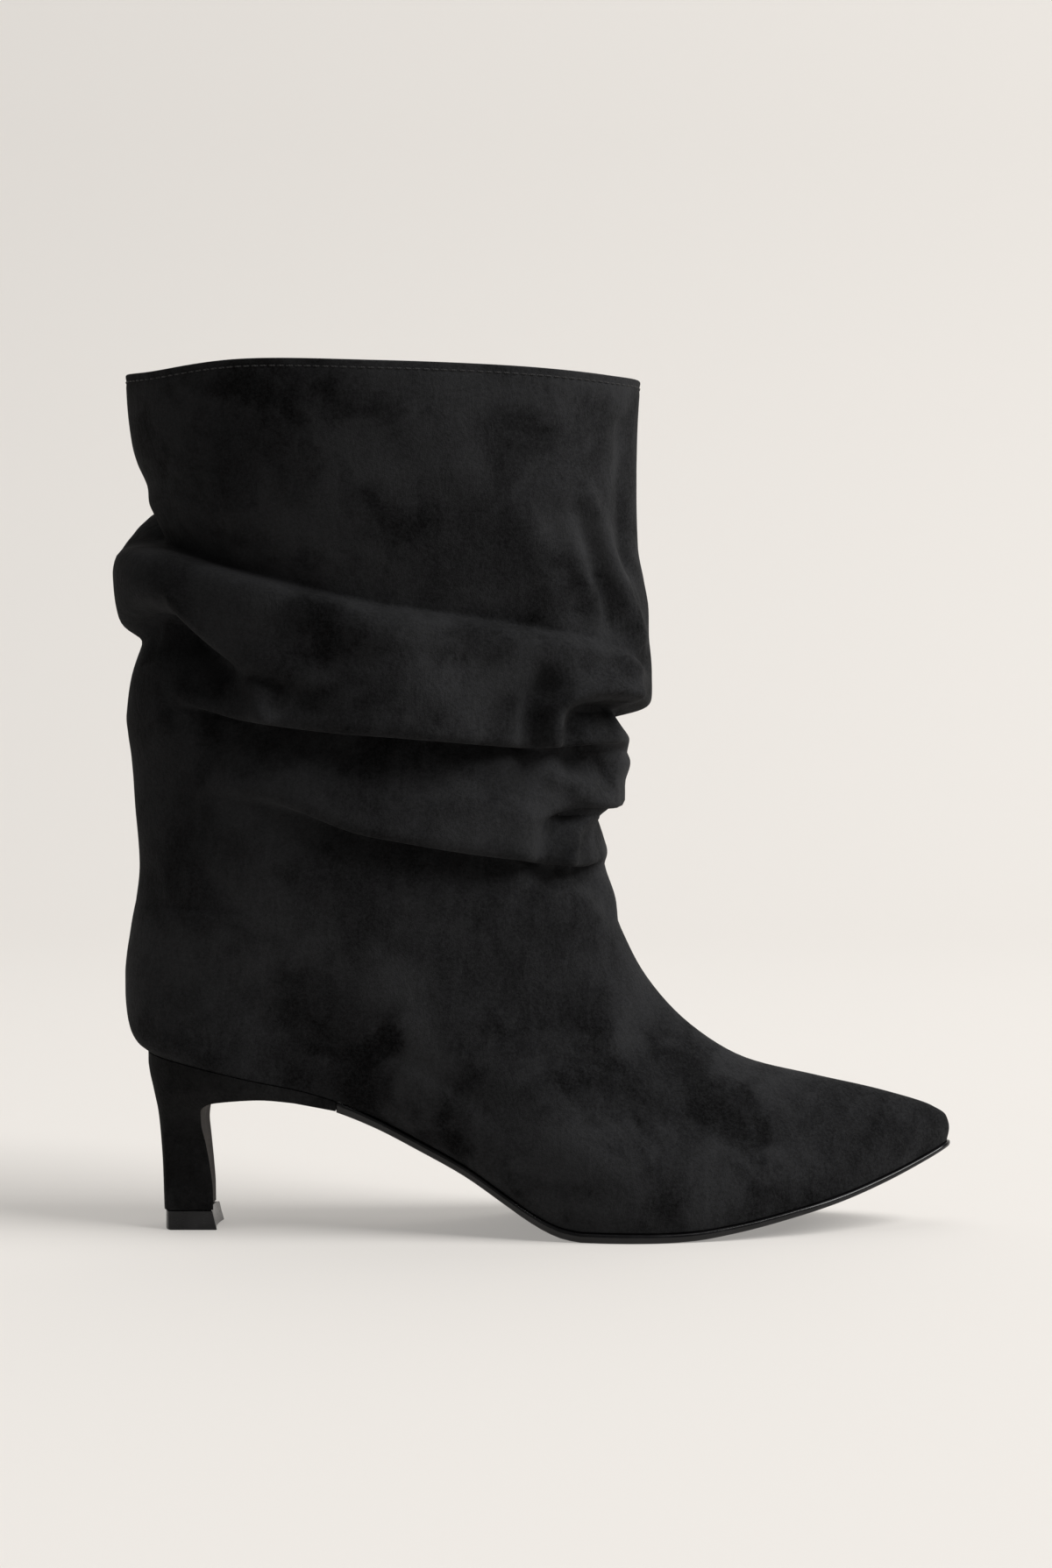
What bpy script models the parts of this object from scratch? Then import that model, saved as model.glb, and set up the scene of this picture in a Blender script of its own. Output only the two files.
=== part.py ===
# Slouch boot, right foot. Metres, Z up, toe towards +X, inner side of the foot +Y.
# The origin is the centre of the heel tip's bottom face, on the floor.
import math

import bmesh
import bpy
import numpy as np

for old in list(bpy.data.objects):
    bpy.data.objects.remove(old, do_unlink=True)

# Named sizes in millimetres
LENGTH = 246.0
HEIGHT = 263.0
HEEL_HEIGHT = 52.0
BALL_HALF = 39.0
SHAFT_HALF = 46.0
SOLE_THICK = 3.0
FOLD = 10.0
RIM_TILT = 3.6
WALL = 1.9
GAP = 0.3
MARGIN = 9.5
INSOLE_THICK = 2.0
TIP_HEIGHT = 5.9
HEEL_END = 45.2
TIP_LENGTH = 16.6
TIP_HALF = 10.6
TIP_LIP = 1.5
EDGE_OUT = 0.9
COVER_OUT = 0.2
MM = 0.001


def smooth(xs, ys, x):
    """Monotone cubic through the listed stations."""
    xs = np.asarray(xs, float)
    ys = np.asarray(ys, float)
    x = np.clip(np.asarray(x, float), xs[0], xs[-1])
    h = np.diff(xs)
    d = np.diff(ys) / h
    m = np.zeros_like(ys)
    for i in range(1, len(xs) - 1):
        if d[i - 1] * d[i] > 0.0:
            w1 = 2.0 * h[i] + h[i - 1]
            w2 = h[i] + 2.0 * h[i - 1]
            m[i] = (w1 + w2) / (w1 / d[i - 1] + w2 / d[i])
    m[0] = d[0]
    m[-1] = d[-1]
    k = np.clip(np.searchsorted(xs, x, side="right") - 1, 0, len(xs) - 2)
    t = (x - xs[k]) / h[k]
    a = (1.0 + 2.0 * t) * (1.0 - t) ** 2
    b = t * (1.0 - t) ** 2
    c = t * t * (3.0 - 2.0 * t)
    e = t * t * (t - 1.0)
    return a * ys[k] + b * h[k] * m[k] + c * ys[k + 1] + e * h[k] * m[k + 1]


def around(values, theta):
    """Value at an angle round the shaft from stations 30 degrees apart.
    0 is the back, 90 the outer side, 180 the front, 270 the inner side."""
    n = len(values)
    step = 2.0 * math.pi / n
    xs = np.arange(-2, n + 3) * step
    ys = [values[i % n] for i in range(-2, n + 3)]
    return smooth(xs, ys, np.mod(theta, 2.0 * math.pi))


# Underside of the sole and thickness of its edge, back to toe
SOLE_LINE = (
    # x of LENGTH, underside of HEEL_HEIGHT, thickness of SOLE_THICK
    (-0.0650, 0.9923, 1.000),
    (0.0000, 0.9346, 1.000),
    (0.0813, 0.8519, 1.000),
    (0.1423, 0.7885, 1.000),
    (0.1829, 0.7269, 1.000),
    (0.2337, 0.6269, 1.000),
    (0.2878, 0.4981, 1.000),
    (0.3415, 0.3635, 1.000),
    (0.3959, 0.1904, 1.000),
    (0.4179, 0.1192, 1.000),
    (0.4398, 0.0596, 1.000),
    (0.4610, 0.0192, 0.983),
    (0.4878, 0.0000, 0.967),
    (0.5813, 0.0000, 0.900),
    (0.6179, 0.0067, 0.867),
    (0.6707, 0.0404, 0.800),
    (0.7520, 0.1212, 0.733),
    (0.8089, 0.1923, 0.667),
    (0.8659, 0.2865, 0.633),
    (0.9187, 0.3923, 0.567),
    (0.9593, 0.4788, 0.533),
)
SOLE_X = [row[0] * LENGTH for row in SOLE_LINE]


def under(x):
    return smooth(SOLE_X, [row[1] * HEEL_HEIGHT for row in SOLE_LINE], x)


def seat(x):
    """Surface that the upper's bottom follows."""
    thick = smooth(SOLE_X, [row[2] * SOLE_THICK for row in SOLE_LINE], x)
    return under(x) + thick + GAP


# Rows across the foot, shares of the way from the back of the heel to the toe
ROWS = (
    0.0, 0.0065, 0.026, 0.056, 0.097, 0.146, 0.191, 0.238, 0.285, 0.334, 0.379, 0.42, 0.453,
    0.4855, 0.518, 0.551, 0.592, 0.641, 0.694, 0.751, 0.808, 0.861, 0.9085, 0.947, 0.976, 0.992,
    1.0,
)

# Rings of the foot: back and front points as shares of LENGTH and HEIGHT,
# droop is the share of the sole's arch that the ring keeps
FOOT_RINGS = (
    # back_x, back_z, front_x, front_z, droop
    (-0.0575, 0.2050, 0.9502, 0.0955, 1.00),
    (-0.0710, 0.2150, 0.9540, 0.1090, 0.97),
    (-0.0798, 0.2300, 0.9500, 0.1240, 0.92),
    (-0.0845, 0.2510, 0.9315, 0.1376, 0.82),
    (-0.0864, 0.2740, 0.8640, 0.1570, 0.68),
    (-0.0866, 0.2970, 0.7820, 0.1750, 0.54),
    (-0.0848, 0.3190, 0.6960, 0.1954, 0.38),
    (-0.0815, 0.3400, 0.6190, 0.2406, 0.22),
    (-0.0782, 0.3600, 0.5635, 0.3012, 0.10),
    (-0.0742, 0.3800, 0.5325, 0.3590, 0.03),
)
# Half widths of those rings over an ellipse, shares of BALL_HALF, at stations along the ring
STATIONS = (0.0, 0.10, 0.30, 0.47, 0.62, 0.80, 0.93, 1.0)
RING_WIDTHS = (
    # ring, back, heel, waist, joint, ball, vamp, toe, tip
    (0.0, 1.42, 1.16, 0.58, 0.78, 1.01, 0.90, 0.70, 0.58),
    (1.5, 1.45, 1.18, 0.68, 0.84, 1.04, 0.89, 0.67, 0.53),
    (3.0, 1.42, 1.15, 0.77, 0.86, 1.04, 0.84, 0.63, 0.48),
    (5.0, 1.27, 1.09, 0.84, 0.82, 0.90, 0.77, 0.62, 0.50),
    (7.0, 1.10, 1.04, 0.92, 0.90, 0.88, 0.78, 0.65, 0.56),
    (9.0, 0.98, 1.00, 0.96, 0.955, 0.935, 0.91, 0.86, 0.80),
)
CENTRE = (
    # x of LENGTH, sideways position of the centre line of BALL_HALF
    (-0.0813, 0.0000),
    (0.0813, -0.0103),
    (0.2520, -0.0615),
    (0.4268, -0.0154),
    (0.5691, 0.0410),
    (0.7724, 0.1077),
    (0.9512, 0.1641),
)
# Back and front lines and half width of the shaft before its folds
SHAFT_LINES = (
    # z of HEIGHT, back_x of LENGTH, front_x of LENGTH, half of SHAFT_HALF
    (0.3574, -0.0772, 0.5341, 0.800),
    (0.3802, -0.0740, 0.5325, 0.812),
    (0.4259, -0.0695, 0.5228, 0.835),
    (0.4563, -0.0699, 0.5244, 0.850),
    (0.4867, -0.0711, 0.5329, 0.865),
    (0.5209, -0.0728, 0.5439, 0.885),
    (0.5513, -0.0768, 0.5618, 0.895),
    (0.5779, -0.0829, 0.5646, 0.903),
    (0.6008, -0.0870, 0.5626, 0.910),
    (0.6844, -0.0870, 0.5650, 0.925),
    (0.7300, -0.0870, 0.5703, 0.932),
    (0.7605, -0.0862, 0.5654, 0.940),
    (0.7985, -0.0854, 0.5585, 0.948),
    (0.8441, -0.0854, 0.5577, 0.960),
    (0.9163, -0.0854, 0.5573, 0.985),
    (1.0038, -0.0866, 0.5626, 1.000),
)
# Folds of the slouched shaft. line is the crease's height as a share of HEIGHT at 12 stations
# 30 degrees apart, from the back over the outer side, the front and the inner side.
# depth, bulge and hang at the same stations, tuck, above and below are shares of FOLD.
# side +1 has its roll above the crease and -1 below it.
FOLDS = (
    {
        "name": "upper_tuck",
        "side": -1,
        "line": (
            0.8099, 0.7947, 0.7605, 0.7243, 0.7034, 0.6825,
            0.6502, 0.6768, 0.7034, 0.7338, 0.7871, 0.8612,
        ),
        "depth": (1.26, 1.18, 0.80, 0.54, 0.48, 0.40, 0, 0.34, 0.46, 0.50, 0.70, 0.92),
        "bulge": (0.41, 0.48, 0.44, 0.36, 0.34, 0.26, 0, 0.24, 0.34, 0.36, 0.40, 0.36),
        "hang": (0.24, 0.30, 0.26, 0.18, 0.16, 0.14, 0, 0.12, 0.20, 0.20, 0.24, 0.24),
        "tuck": 0.46,
        "above": 2.80,
        "below": 1.80,
    },
    {
        "name": "heel_pocket",
        "side": 1,
        "line": (
            0.6882, 0.7110, 0.6426, 0.6084, 0.6084, 0.6084,
            0.6084, 0.6084, 0.6084, 0.6654, 0.7072, 0.6958,
        ),
        "depth": (0.50, 0.80, 0.60, 0, 0, 0, 0, 0, 0, 0, 0.30, 0.50),
        "bulge": (0.20, 0.18, 0.18, 0, 0, 0, 0, 0, 0, 0, 0.10, 0.16),
        "hang": (0.06, 0.10, 0.10, 0, 0, 0, 0, 0, 0, 0, 0.04, 0.06),
        "tuck": 0.44,
        "above": 2.00,
        "below": 1.00,
    },
    {
        "name": "lower_roll",
        "side": 1,
        "line": (
            0.6160, 0.6122, 0.5932, 0.5817, 0.5703, 0.5646,
            0.5570, 0.5665, 0.5779, 0.5894, 0.6008, 0.6160,
        ),
        "depth": (0, 0, 0.50, 0.65, 0.75, 0.60, 0.20, 0.50, 0.60, 0.60, 0.40, 0),
        "bulge": (0, 0, 0.34, 0.46, 0.48, 0.36, 0.16, 0.34, 0.46, 0.46, 0.26, 0),
        "hang": (0, 0, 0.50, 0.70, 0.70, 0.36, 0.02, 0.36, 0.70, 0.70, 0.50, 0),
        "tuck": 0.32,
        "above": 2.40,
        "below": 1.00,
    },
    {
        "name": "front_lip",
        "side": 1,
        "line": (
            0.6008, 0.6008, 0.6008, 0.5970, 0.5970, 0.6084,
            0.5939, 0.6084, 0.6008, 0.6008, 0.6008, 0.6008,
        ),
        "depth": (0, 0, 0, 0, 0, 0.58, 1.10, 0.58, 0, 0, 0, 0),
        "bulge": (0, 0, 0, 0, 0, 0.20, 0.26, 0.20, 0, 0, 0, 0),
        "hang": (0, 0, 0, 0, 0, 0.16, 0.08, 0.16, 0, 0, 0, 0),
        "tuck": 0.36,
        "above": 4.00,
        "below": 0.68,
    },
    {
        "name": "ankle_roll",
        "side": 1,
        "line": (
            0.5095, 0.5095, 0.4981, 0.4658, 0.4422, 0.4297,
            0.4259, 0.4297, 0.4411, 0.4601, 0.4867, 0.5057,
        ),
        "depth": (0, 0, 0.12, 0.50, 0.60, 0.54, 0.10, 0.40, 0.50, 0.45, 0.20, 0),
        "bulge": (0, 0, 0.08, 0.32, 0.38, 0.32, 0.08, 0.28, 0.34, 0.32, 0.12, 0),
        "hang": (0, 0, 0.10, 0.60, 0.60, 0.60, 0.10, 0.50, 0.60, 0.50, 0.20, 0),
        "tuck": 0.32,
        "above": 2.20,
        "below": 1.00,
    },
    {
        "name": "ankle_lip",
        "side": 1,
        "line": (
            0.4715, 0.4715, 0.4715, 0.4715, 0.4639, 0.4886,
            0.4875, 0.4886, 0.4639, 0.4715, 0.4715, 0.4715,
        ),
        "depth": (0, 0, 0, 0, 0, 0.34, 0.64, 0.40, 0, 0, 0, 0),
        "bulge": (0, 0, 0, 0, 0, 0.12, 0.16, 0.12, 0, 0, 0, 0),
        "hang": (0, 0, 0, 0, 0, 0.30, 0.30, 0.30, 0, 0, 0, 0),
        "tuck": 0.32,
        "above": 1.80,
        "below": 0.90,
    },
)


def fold_shift(theta, z):
    """Outward and upward move of the shaft's skin."""
    out = np.zeros_like(z)
    lift = np.zeros_like(z)
    for fold in FOLDS:
        side = fold["side"]
        d = (z - around(fold["line"], theta) * HEIGHT) * side / FOLD
        depth = around(fold["depth"], theta) * FOLD
        u = np.clip(d / fold["above"], 0.0, 1.0)
        swell = 6.75 * u * (1.0 - u) ** 2
        near = np.exp(-((np.maximum(d, 0.0) / fold["tuck"]) ** 2))
        far = np.exp(-((np.maximum(-d, 0.0) / fold["below"]) ** 1.4))
        out += around(fold["bulge"], theta) * FOLD * swell - depth * np.where(d > 0.0, near, far)
        v = np.clip(d, 0.0, 1.0)
        lift -= side * around(fold["hang"], theta) * FOLD * 16.0 * v * v * (1.0 - v) ** 2
    return out, lift


def share(theta):
    return (1.0 - np.cos(theta)) / 2.0


def centre_line(x):
    return smooth([c[0] * LENGTH for c in CENTRE], [c[1] * BALL_HALF for c in CENTRE], x)


def foot_ring(r, theta):
    """Points of foot ring r, a number from 0 at the sole to 9 at the ankle."""
    index = np.arange(len(FOOT_RINGS))
    col = [smooth(index, [row[i] for row in FOOT_RINGS], r) for i in range(5)]
    back_x = float(col[0]) * LENGTH
    back_z = float(col[1]) * HEIGHT
    front_x = float(col[2]) * LENGTH
    front_z = float(col[3]) * HEIGHT
    droop = float(col[4])
    s = share(theta)
    x = back_x + s * (front_x - back_x)
    first = FOOT_RINGS[0]
    x0 = (first[0] + s * (first[2] - first[0])) * LENGTH
    z0 = (first[1] + s * (first[3] - first[1])) * HEIGHT
    z = back_z + s * (front_z - back_z) - droop * (z0 - seat(x0))
    rings = [row[0] for row in RING_WIDTHS]
    widths = [float(smooth(rings, [row[i + 1] for row in RING_WIDTHS], r)) for i in range(8)]
    half = smooth(STATIONS, widths, s) * BALL_HALF
    sway = centre_line(x)
    y = -np.sin(theta) * half + sway * (1.0 - r / 9.0)
    return np.stack([x, y, z], 1)


def shaft_point(theta, z):
    heights = [row[0] * HEIGHT for row in SHAFT_LINES]
    back = smooth(heights, [row[1] * LENGTH for row in SHAFT_LINES], z)
    front = smooth(heights, [row[2] * LENGTH for row in SHAFT_LINES], z)
    half = smooth(heights, [row[3] * SHAFT_HALF for row in SHAFT_LINES], z)
    s = share(theta)
    x = back + s * (front - back)
    y = -np.sin(theta) * half
    tx = np.sin(theta) * (front - back) / 2.0
    ty = -np.cos(theta) * half
    size = np.hypot(tx, ty)
    nx = ty / size
    ny = -tx / size
    out, lift = fold_shift(theta, z)
    return np.stack([x + nx * out, y + ny * out, z + lift], 1)


# Dip of the collar at the 12 stations, shares of RIM_TILT
RIM_DIPS = (0.0, 0.42, 0.06, 0.42, 0.63, 0.74, 0.5, 0.5, 0.5, 0.42, 0.28, 0.1)


def rim_height(theta):
    return HEIGHT - RIM_TILT * around(RIM_DIPS, theta)


# Fractions of each band of the shaft where its rings lie
BANDS = (
    ("ankle", "ankle_roll", (0.3, 0.58, 0.8, 0.94, 1.0)),
    ("ankle_roll", "lower_roll", (0.05, 0.12, 0.20, 0.34, 0.52, 0.72, 0.90, 1.0)),
    ("lower_roll", "upper_tuck", (0.05, 0.11, 0.18, 0.28, 0.41, 0.55, 0.68, 0.80, 0.89, 0.95, 1.0)),
    ("upper_tuck", "rim", (0.05, 0.14, 0.28, 0.48, 0.72, 1.0)),
)
FOOT_STEPS = (0.0, 0.5, 1.0, 1.7, 2.4, 3.0, 3.7, 4.4, 5.1, 5.8, 6.5, 7.2, 7.8, 8.4)


def level(name, theta):
    if name == "rim":
        return rim_height(theta)
    if name == "ankle":
        return foot_ring(9.0, theta)[:, 2]
    for fold in FOLDS:
        if fold["name"] == name:
            return around(fold["line"], theta) * HEIGHT
    return None


side_angles = np.arccos(1.0 - 2.0 * np.array(ROWS))
theta = np.concatenate([side_angles, 2.0 * math.pi - side_angles[-2:0:-1]])
COLUMNS = len(theta)
HALF = len(ROWS) - 1
rings = [foot_ring(r, theta) for r in FOOT_STEPS]
rings.append(shaft_point(theta, level("ankle", theta)))
for low, high, fractions in BANDS:
    z_low = level(low, theta)
    z_high = level(high, theta)
    for f in fractions:
        rings.append(shaft_point(theta, z_low + f * (z_high - z_low)))
outer = np.array(rings)


def grid_normals(grid):
    along = np.empty_like(grid)
    along[1:-1] = grid[2:] - grid[:-2]
    along[0] = grid[1] - grid[0]
    along[-1] = grid[-1] - grid[-2]
    ring = np.roll(grid, -1, 1) - np.roll(grid, 1, 1)
    n = np.cross(along, ring)
    n /= np.linalg.norm(n, axis=2)[:, :, None]
    for _ in range(2):
        low = np.concatenate([n[:1], n[:-1]])
        high = np.concatenate([n[1:], n[-1:]])
        n = 2.0 * n + low + high + np.roll(n, 1, 1) + np.roll(n, -1, 1)
        n /= np.linalg.norm(n, axis=2)[:, :, None]
    return n


normals = grid_normals(outer)
middle = outer.mean(axis=1)[:, None, :]
if np.sum(normals * (outer - middle)) < 0.0:
    normals = -normals
inner = outer - normals * WALL
flat = normals[0] * np.array([1.0, 1.0, 0.0])
flat /= np.linalg.norm(flat, axis=1)[:, None]
inner[0] = outer[0] - flat * WALL
inner[-1] = outer[-1] - normals[-1] * WALL
inner[-1][:, 2] = outer[-1][:, 2]


BACK = FOOT_RINGS[0][0] * LENGTH
FRONT_END = FOOT_RINGS[0][2] * LENGTH
ROW_X = BACK + np.array(ROWS) * (FRONT_END - BACK)


def seat_line(x):
    """The seat surface in the same flat steps as the rows."""
    return np.interp(x, ROW_X, seat(ROW_X))


def width_at(x):
    """Half width of the sole outline and its centre line at x."""
    s = np.clip((x - BACK) / (FRONT_END - BACK), 0.0, 1.0)
    w = np.sqrt(4.0 * s * (1.0 - s)) * smooth(STATIONS, RING_WIDTHS[0][1:], s) * BALL_HALF
    return w, centre_line(x)


inner[0][:, 2] = seat_line(inner[0][:, 0]) + WALL
inner[1] = (inner[0] + inner[2]) / 2.0
edge_x = outer[0][:, 0]
margin_x = np.interp(
    edge_x,
    [BACK, BACK + MARGIN * 2.3, FRONT_END - MARGIN * 4.2, FRONT_END],
    [BACK + MARGIN, BACK + MARGIN * 2.3, FRONT_END - MARGIN * 4.2, FRONT_END - MARGIN * 1.7],
)
edge_w, edge_mid = width_at(edge_x)
kept = edge_w - MARGIN * (1.0 - np.exp(-edge_w / (MARGIN * 1.26)))
margin_mid_y = width_at(margin_x)[1]
margin_y = margin_mid_y - np.sign(np.sin(theta)) * kept
margin_low = np.stack([margin_x, margin_y, seat_line(margin_x)], 1)
margin_mid = (margin_low + outer[0]) / 2.0
margin_mid[:, 2] = seat_line(margin_mid[:, 0])
margin_top = margin_low.copy()
margin_top[:, 2] += WALL
mid_top = (margin_top + inner[0]) / 2.0
mid_top[:, 2] = seat_line(mid_top[:, 0]) + WALL


def material(name, colour, roughness):
    mat = bpy.data.materials.new(name)
    mat.use_nodes = True
    node = mat.node_tree.nodes["Principled BSDF"]
    node.inputs["Base Color"].default_value = colour
    node.inputs["Roughness"].default_value = roughness
    return mat


def make(name, verts, faces, mat, smooth_shade):
    mesh = bpy.data.meshes.new(name)
    mesh.from_pydata([tuple(v) for v in np.asarray(verts) * MM], [], faces)
    bm = bmesh.new()
    bm.from_mesh(mesh)
    bmesh.ops.remove_doubles(bm, verts=bm.verts[:], dist=0.00002)
    bmesh.ops.dissolve_degenerate(bm, edges=bm.edges[:], dist=0.000001)
    bmesh.ops.recalc_face_normals(bm, faces=bm.faces[:])
    bmesh.ops.triangulate(bm, faces=bm.faces[:])
    bm.to_mesh(mesh)
    bm.free()
    for poly in mesh.polygons:
        poly.use_smooth = smooth_shade
    mesh.materials.append(mat)
    obj = bpy.data.objects.new(name, mesh)
    bpy.context.scene.collection.objects.link(obj)
    return obj


def loops(ring_list, closed):
    """Quads between rings of equal length; closed also joins the last to the first."""
    n = len(ring_list[0])
    count = len(ring_list)
    faces = []
    for i in range(count if closed else count - 1):
        a = i * n
        b = ((i + 1) % count) * n
        for j in range(n):
            k = (j + 1) % n
            faces.append((a + j, a + k, b + k, b + j))
    return np.concatenate(ring_list), faces


skin = [margin_low, margin_mid] + list(outer) + list(inner[::-1]) + [mid_top, margin_top]
verts, faces = loops(skin, True)
suede = material("black_suede", (0.012, 0.012, 0.014, 1.0), 0.95)
make("upper", verts, faces, suede, True)


def half_at(x, extra):
    """Outer and inner side of the sole outline at x, widened by extra."""
    w, sway = width_at(x)
    return sway - w - extra, sway + w + extra


ACROSS = 4


def plate(rows, low, high, top, bottom):
    """Closed plate from rows along x: low and high are its edges at top and bottom."""
    verts = []
    faces = []
    n = len(rows)
    m = ACROSS + 1
    for level_z, edges in ((top, high), (bottom, low)):
        for i, x in enumerate(rows):
            a, b = edges[i]
            for j in range(m):
                y = a + (b - a) * j / ACROSS
                verts.append((x, y, level_z[i]))
    size = n * m
    for i in range(n - 1):
        for j in range(ACROSS):
            a = i * m + j
            faces.append((a, a + 1, a + m + 1, a + m))
            faces.append((size + a, size + a + 1, size + a + m + 1, size + a + m))
    for i in range(n - 1):
        for j in (0, ACROSS):
            a = i * m + j
            faces.append((a, a + m, size + a + m, size + a))
    for i in (0, n - 1):
        for j in range(ACROSS):
            a = i * m + j
            faces.append((a, a + 1, size + a + 1, size + a))
    return verts, faces


# Outsole
sole_tip = FRONT_END + EDGE_OUT
stretch = (FRONT_END - BACK) / (sole_tip - BACK)
SOLE_ROWS = (0.4187, 0.4472, 0.6667, 0.7236, 0.7805, 0.8293, 0.8699, 0.9065, 0.9309, 0.9402)
row_list = [HEEL_END + GAP, sole_tip] + [row[0] * LENGTH for row in SOLE_LINE if row[1] == 0.0]
row_list += [x * LENGTH for x in SOLE_ROWS]
row_list += [x for x in ROW_X if x > HEEL_END + 2.0]
row_list = sorted(row_list)
sole_rows = np.array([row_list[0]] + [b for a, b in zip(row_list, row_list[1:]) if b - a > 0.3])


def sole_edges(extra):
    edges = []
    for x in sole_rows:
        inside = BACK + (x - BACK) * stretch
        a, b = half_at(inside, extra)
        if x >= sole_tip - 1e-6:
            a = b = (a + b) / 2.0
        edges.append((float(a), float(b)))
    return edges


sole_top = seat_line(sole_rows) - GAP
sole_low = under(sole_rows)
sole_low[-1] = sole_top[-1] - SOLE_THICK * 0.43
verts, faces = plate(sole_rows, sole_edges(EDGE_OUT - 0.4), sole_edges(EDGE_OUT), sole_top, sole_low)
gloss = material("outsole_gloss", (0.01, 0.01, 0.011, 1.0), 0.25)
make("outsole", verts, faces, gloss, False)

# Insole, cut to the inside of the upper
clear = GAP + 0.2
back_run = [0] + list(range(COLUMNS - 1, HALF - 1, -1))
board_start = max(ring[0, 0] for ring in inner[:5]) + clear
board_end = min(ring[HALF, 0] for ring in inner[:5]) - clear * 2.0
board_rows = [x for x in ROW_X if board_start + 0.8 < x < board_end - 0.8]
board_rows = np.array([board_start, board_start + 0.7] + board_rows + [board_end - 0.7, board_end])
board_edges = []
for x in board_rows:
    lows = [np.interp(x, ring[: HALF + 1, 0], ring[: HALF + 1, 1]) for ring in inner[:5]]
    highs = [np.interp(x, ring[back_run, 0], ring[back_run, 1]) for ring in inner[:5]]
    a = max(lows) + clear
    b = min(highs) - clear
    if b - a < 0.6 or x in (board_rows[0], board_rows[-1]):
        a = b = (a + b) / 2.0
    board_edges.append((float(a), float(b)))
board_low = seat_line(board_rows) + WALL + GAP
verts, faces = plate(board_rows, board_edges, board_edges, board_low + INSOLE_THICK, board_low)
sock = material("insole_lining", (0.05, 0.045, 0.04, 1.0), 0.8)
make("insole", verts, faces, sock, True)

# Heel block: rings from the tip up to the seat
HEEL_RINGS = (
    # back_x, back_z, front_x, front_z, half, seat share: x of HEEL_END, half of TIP_HALF,
    # z from the top of the heel tip to HEEL_HEIGHT
    (-0.1991, 0.0000, 0.1372, 0.0000, 1.000, 0.00),
    (-0.2035, 0.1266, 0.1350, 0.1266, 1.000, 0.00),
    (-0.2080, 0.2795, 0.1217, 0.2686, 1.038, 0.03),
    (-0.2190, 0.4760, 0.0973, 0.4432, 1.151, 0.10),
    (-0.2345, 0.6507, 0.0752, 0.5830, 1.340, 0.24),
    (-0.2544, 0.7598, 0.0819, 0.6790, 1.557, 0.42),
    (-0.2699, 0.8362, 0.1372, 0.7314, 1.792, 0.60),
    (-0.2832, 0.8908, 0.2699, 0.7576, 1.981, 0.76),
    (-0.2920, 0.9345, 0.4956, 0.7729, 2.123, 0.90),
    (-0.2987, 0.9629, 0.7611, 0.7467, 2.170, 0.98),
    (-0.3053, 0.9825, 1.0000, 0.6943, 2.075, 1.00),
)
FRONT = 4
HEEL_ROWS = [0.0] + [(x - BACK) / (HEEL_END - BACK) for x in ROW_X[1:] if x < HEEL_END - 1.0] + [1.0]
SIDE = len(HEEL_ROWS) - 1


def heel_loop(back_x, back_z, front_x, front_z, half, seat_share, top):
    """Outer side from breast to back, inner side back to breast, then the breast."""
    s = np.array(HEEL_ROWS)
    x = back_x + s * (front_x - back_x)
    corner = 0.14 + 0.58 * seat_share
    curve = np.sqrt(np.clip(1.0 - (1.0 - np.clip(s / corner, 0.0, 1.0)) ** 2, 0.0, 1.0))
    lo, hi = half_at(np.maximum(x, BACK), COVER_OUT)
    w = (1.0 - seat_share) * half * curve + seat_share * (hi - lo) / 2.0
    w[0] = 0.0
    mid = (lo + hi) / 2.0 * seat_share
    z = back_z + s * (front_z - back_z)
    if top:
        z = seat_line(x) - GAP
    else:
        dip = s * (1.0 - s) * seat_share * 4.0
        z = z - dip * (back_z + 0.5 * (front_z - back_z) - HEEL_HEIGHT * 0.846) * 0.25
    pts = []
    for i in range(SIDE, -1, -1):
        pts.append((x[i], mid[i] - w[i], z[i]))
    for i in range(1, SIDE + 1):
        pts.append((x[i], mid[i] + w[i], z[i]))
    a = pts[-1]
    b = pts[0]
    for j in range(1, FRONT):
        f = j / FRONT
        pts.append(tuple(a[c] + (b[c] - a[c]) * f for c in range(3)))
    return pts


heel_base = TIP_HEIGHT + GAP
rise = HEEL_HEIGHT - heel_base
heel_rings = []
for back_x, back_z, front_x, front_z, half, seat_share in HEEL_RINGS:
    low = heel_base + back_z * rise
    high = heel_base + front_z * rise
    ring = heel_loop(back_x * HEEL_END, low, front_x * HEEL_END, high, half * TIP_HALF, seat_share, False)
    heel_rings.append(ring)
heel_rings.append(heel_loop(BACK, 0.0, HEEL_END, 0.0, TIP_HALF, 1.0, True))
verts, faces = loops([np.array(r) for r in heel_rings], False)
verts = [tuple(v) for v in verts]


def lid(offset):
    """Cap across a heel ring: rungs between its two sides, pairs of equal x."""
    out = []
    for i in range(SIDE):
        a = offset + i
        b = offset + i + 1
        c = offset + 2 * SIDE - i - 1
        d = offset + 2 * SIDE - i
        if i == SIDE - 1:
            out.append((a, b, d))
        else:
            out.append((a, b, c, d))
    edge = [offset + 2 * SIDE + j for j in range(0, FRONT)] + [offset]
    return out, edge


def add_lid(ring_index):
    n = len(heel_rings[0])
    out, edge = lid(ring_index * n)
    out[0] = tuple(list(out[0]) + edge[1:-1])
    return out


faces += add_lid(0)
faces += add_lid(len(heel_rings) - 1)
cover = material("heel_suede", (0.013, 0.013, 0.015, 1.0), 0.95)
make("heel", verts, faces, cover, True)

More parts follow.
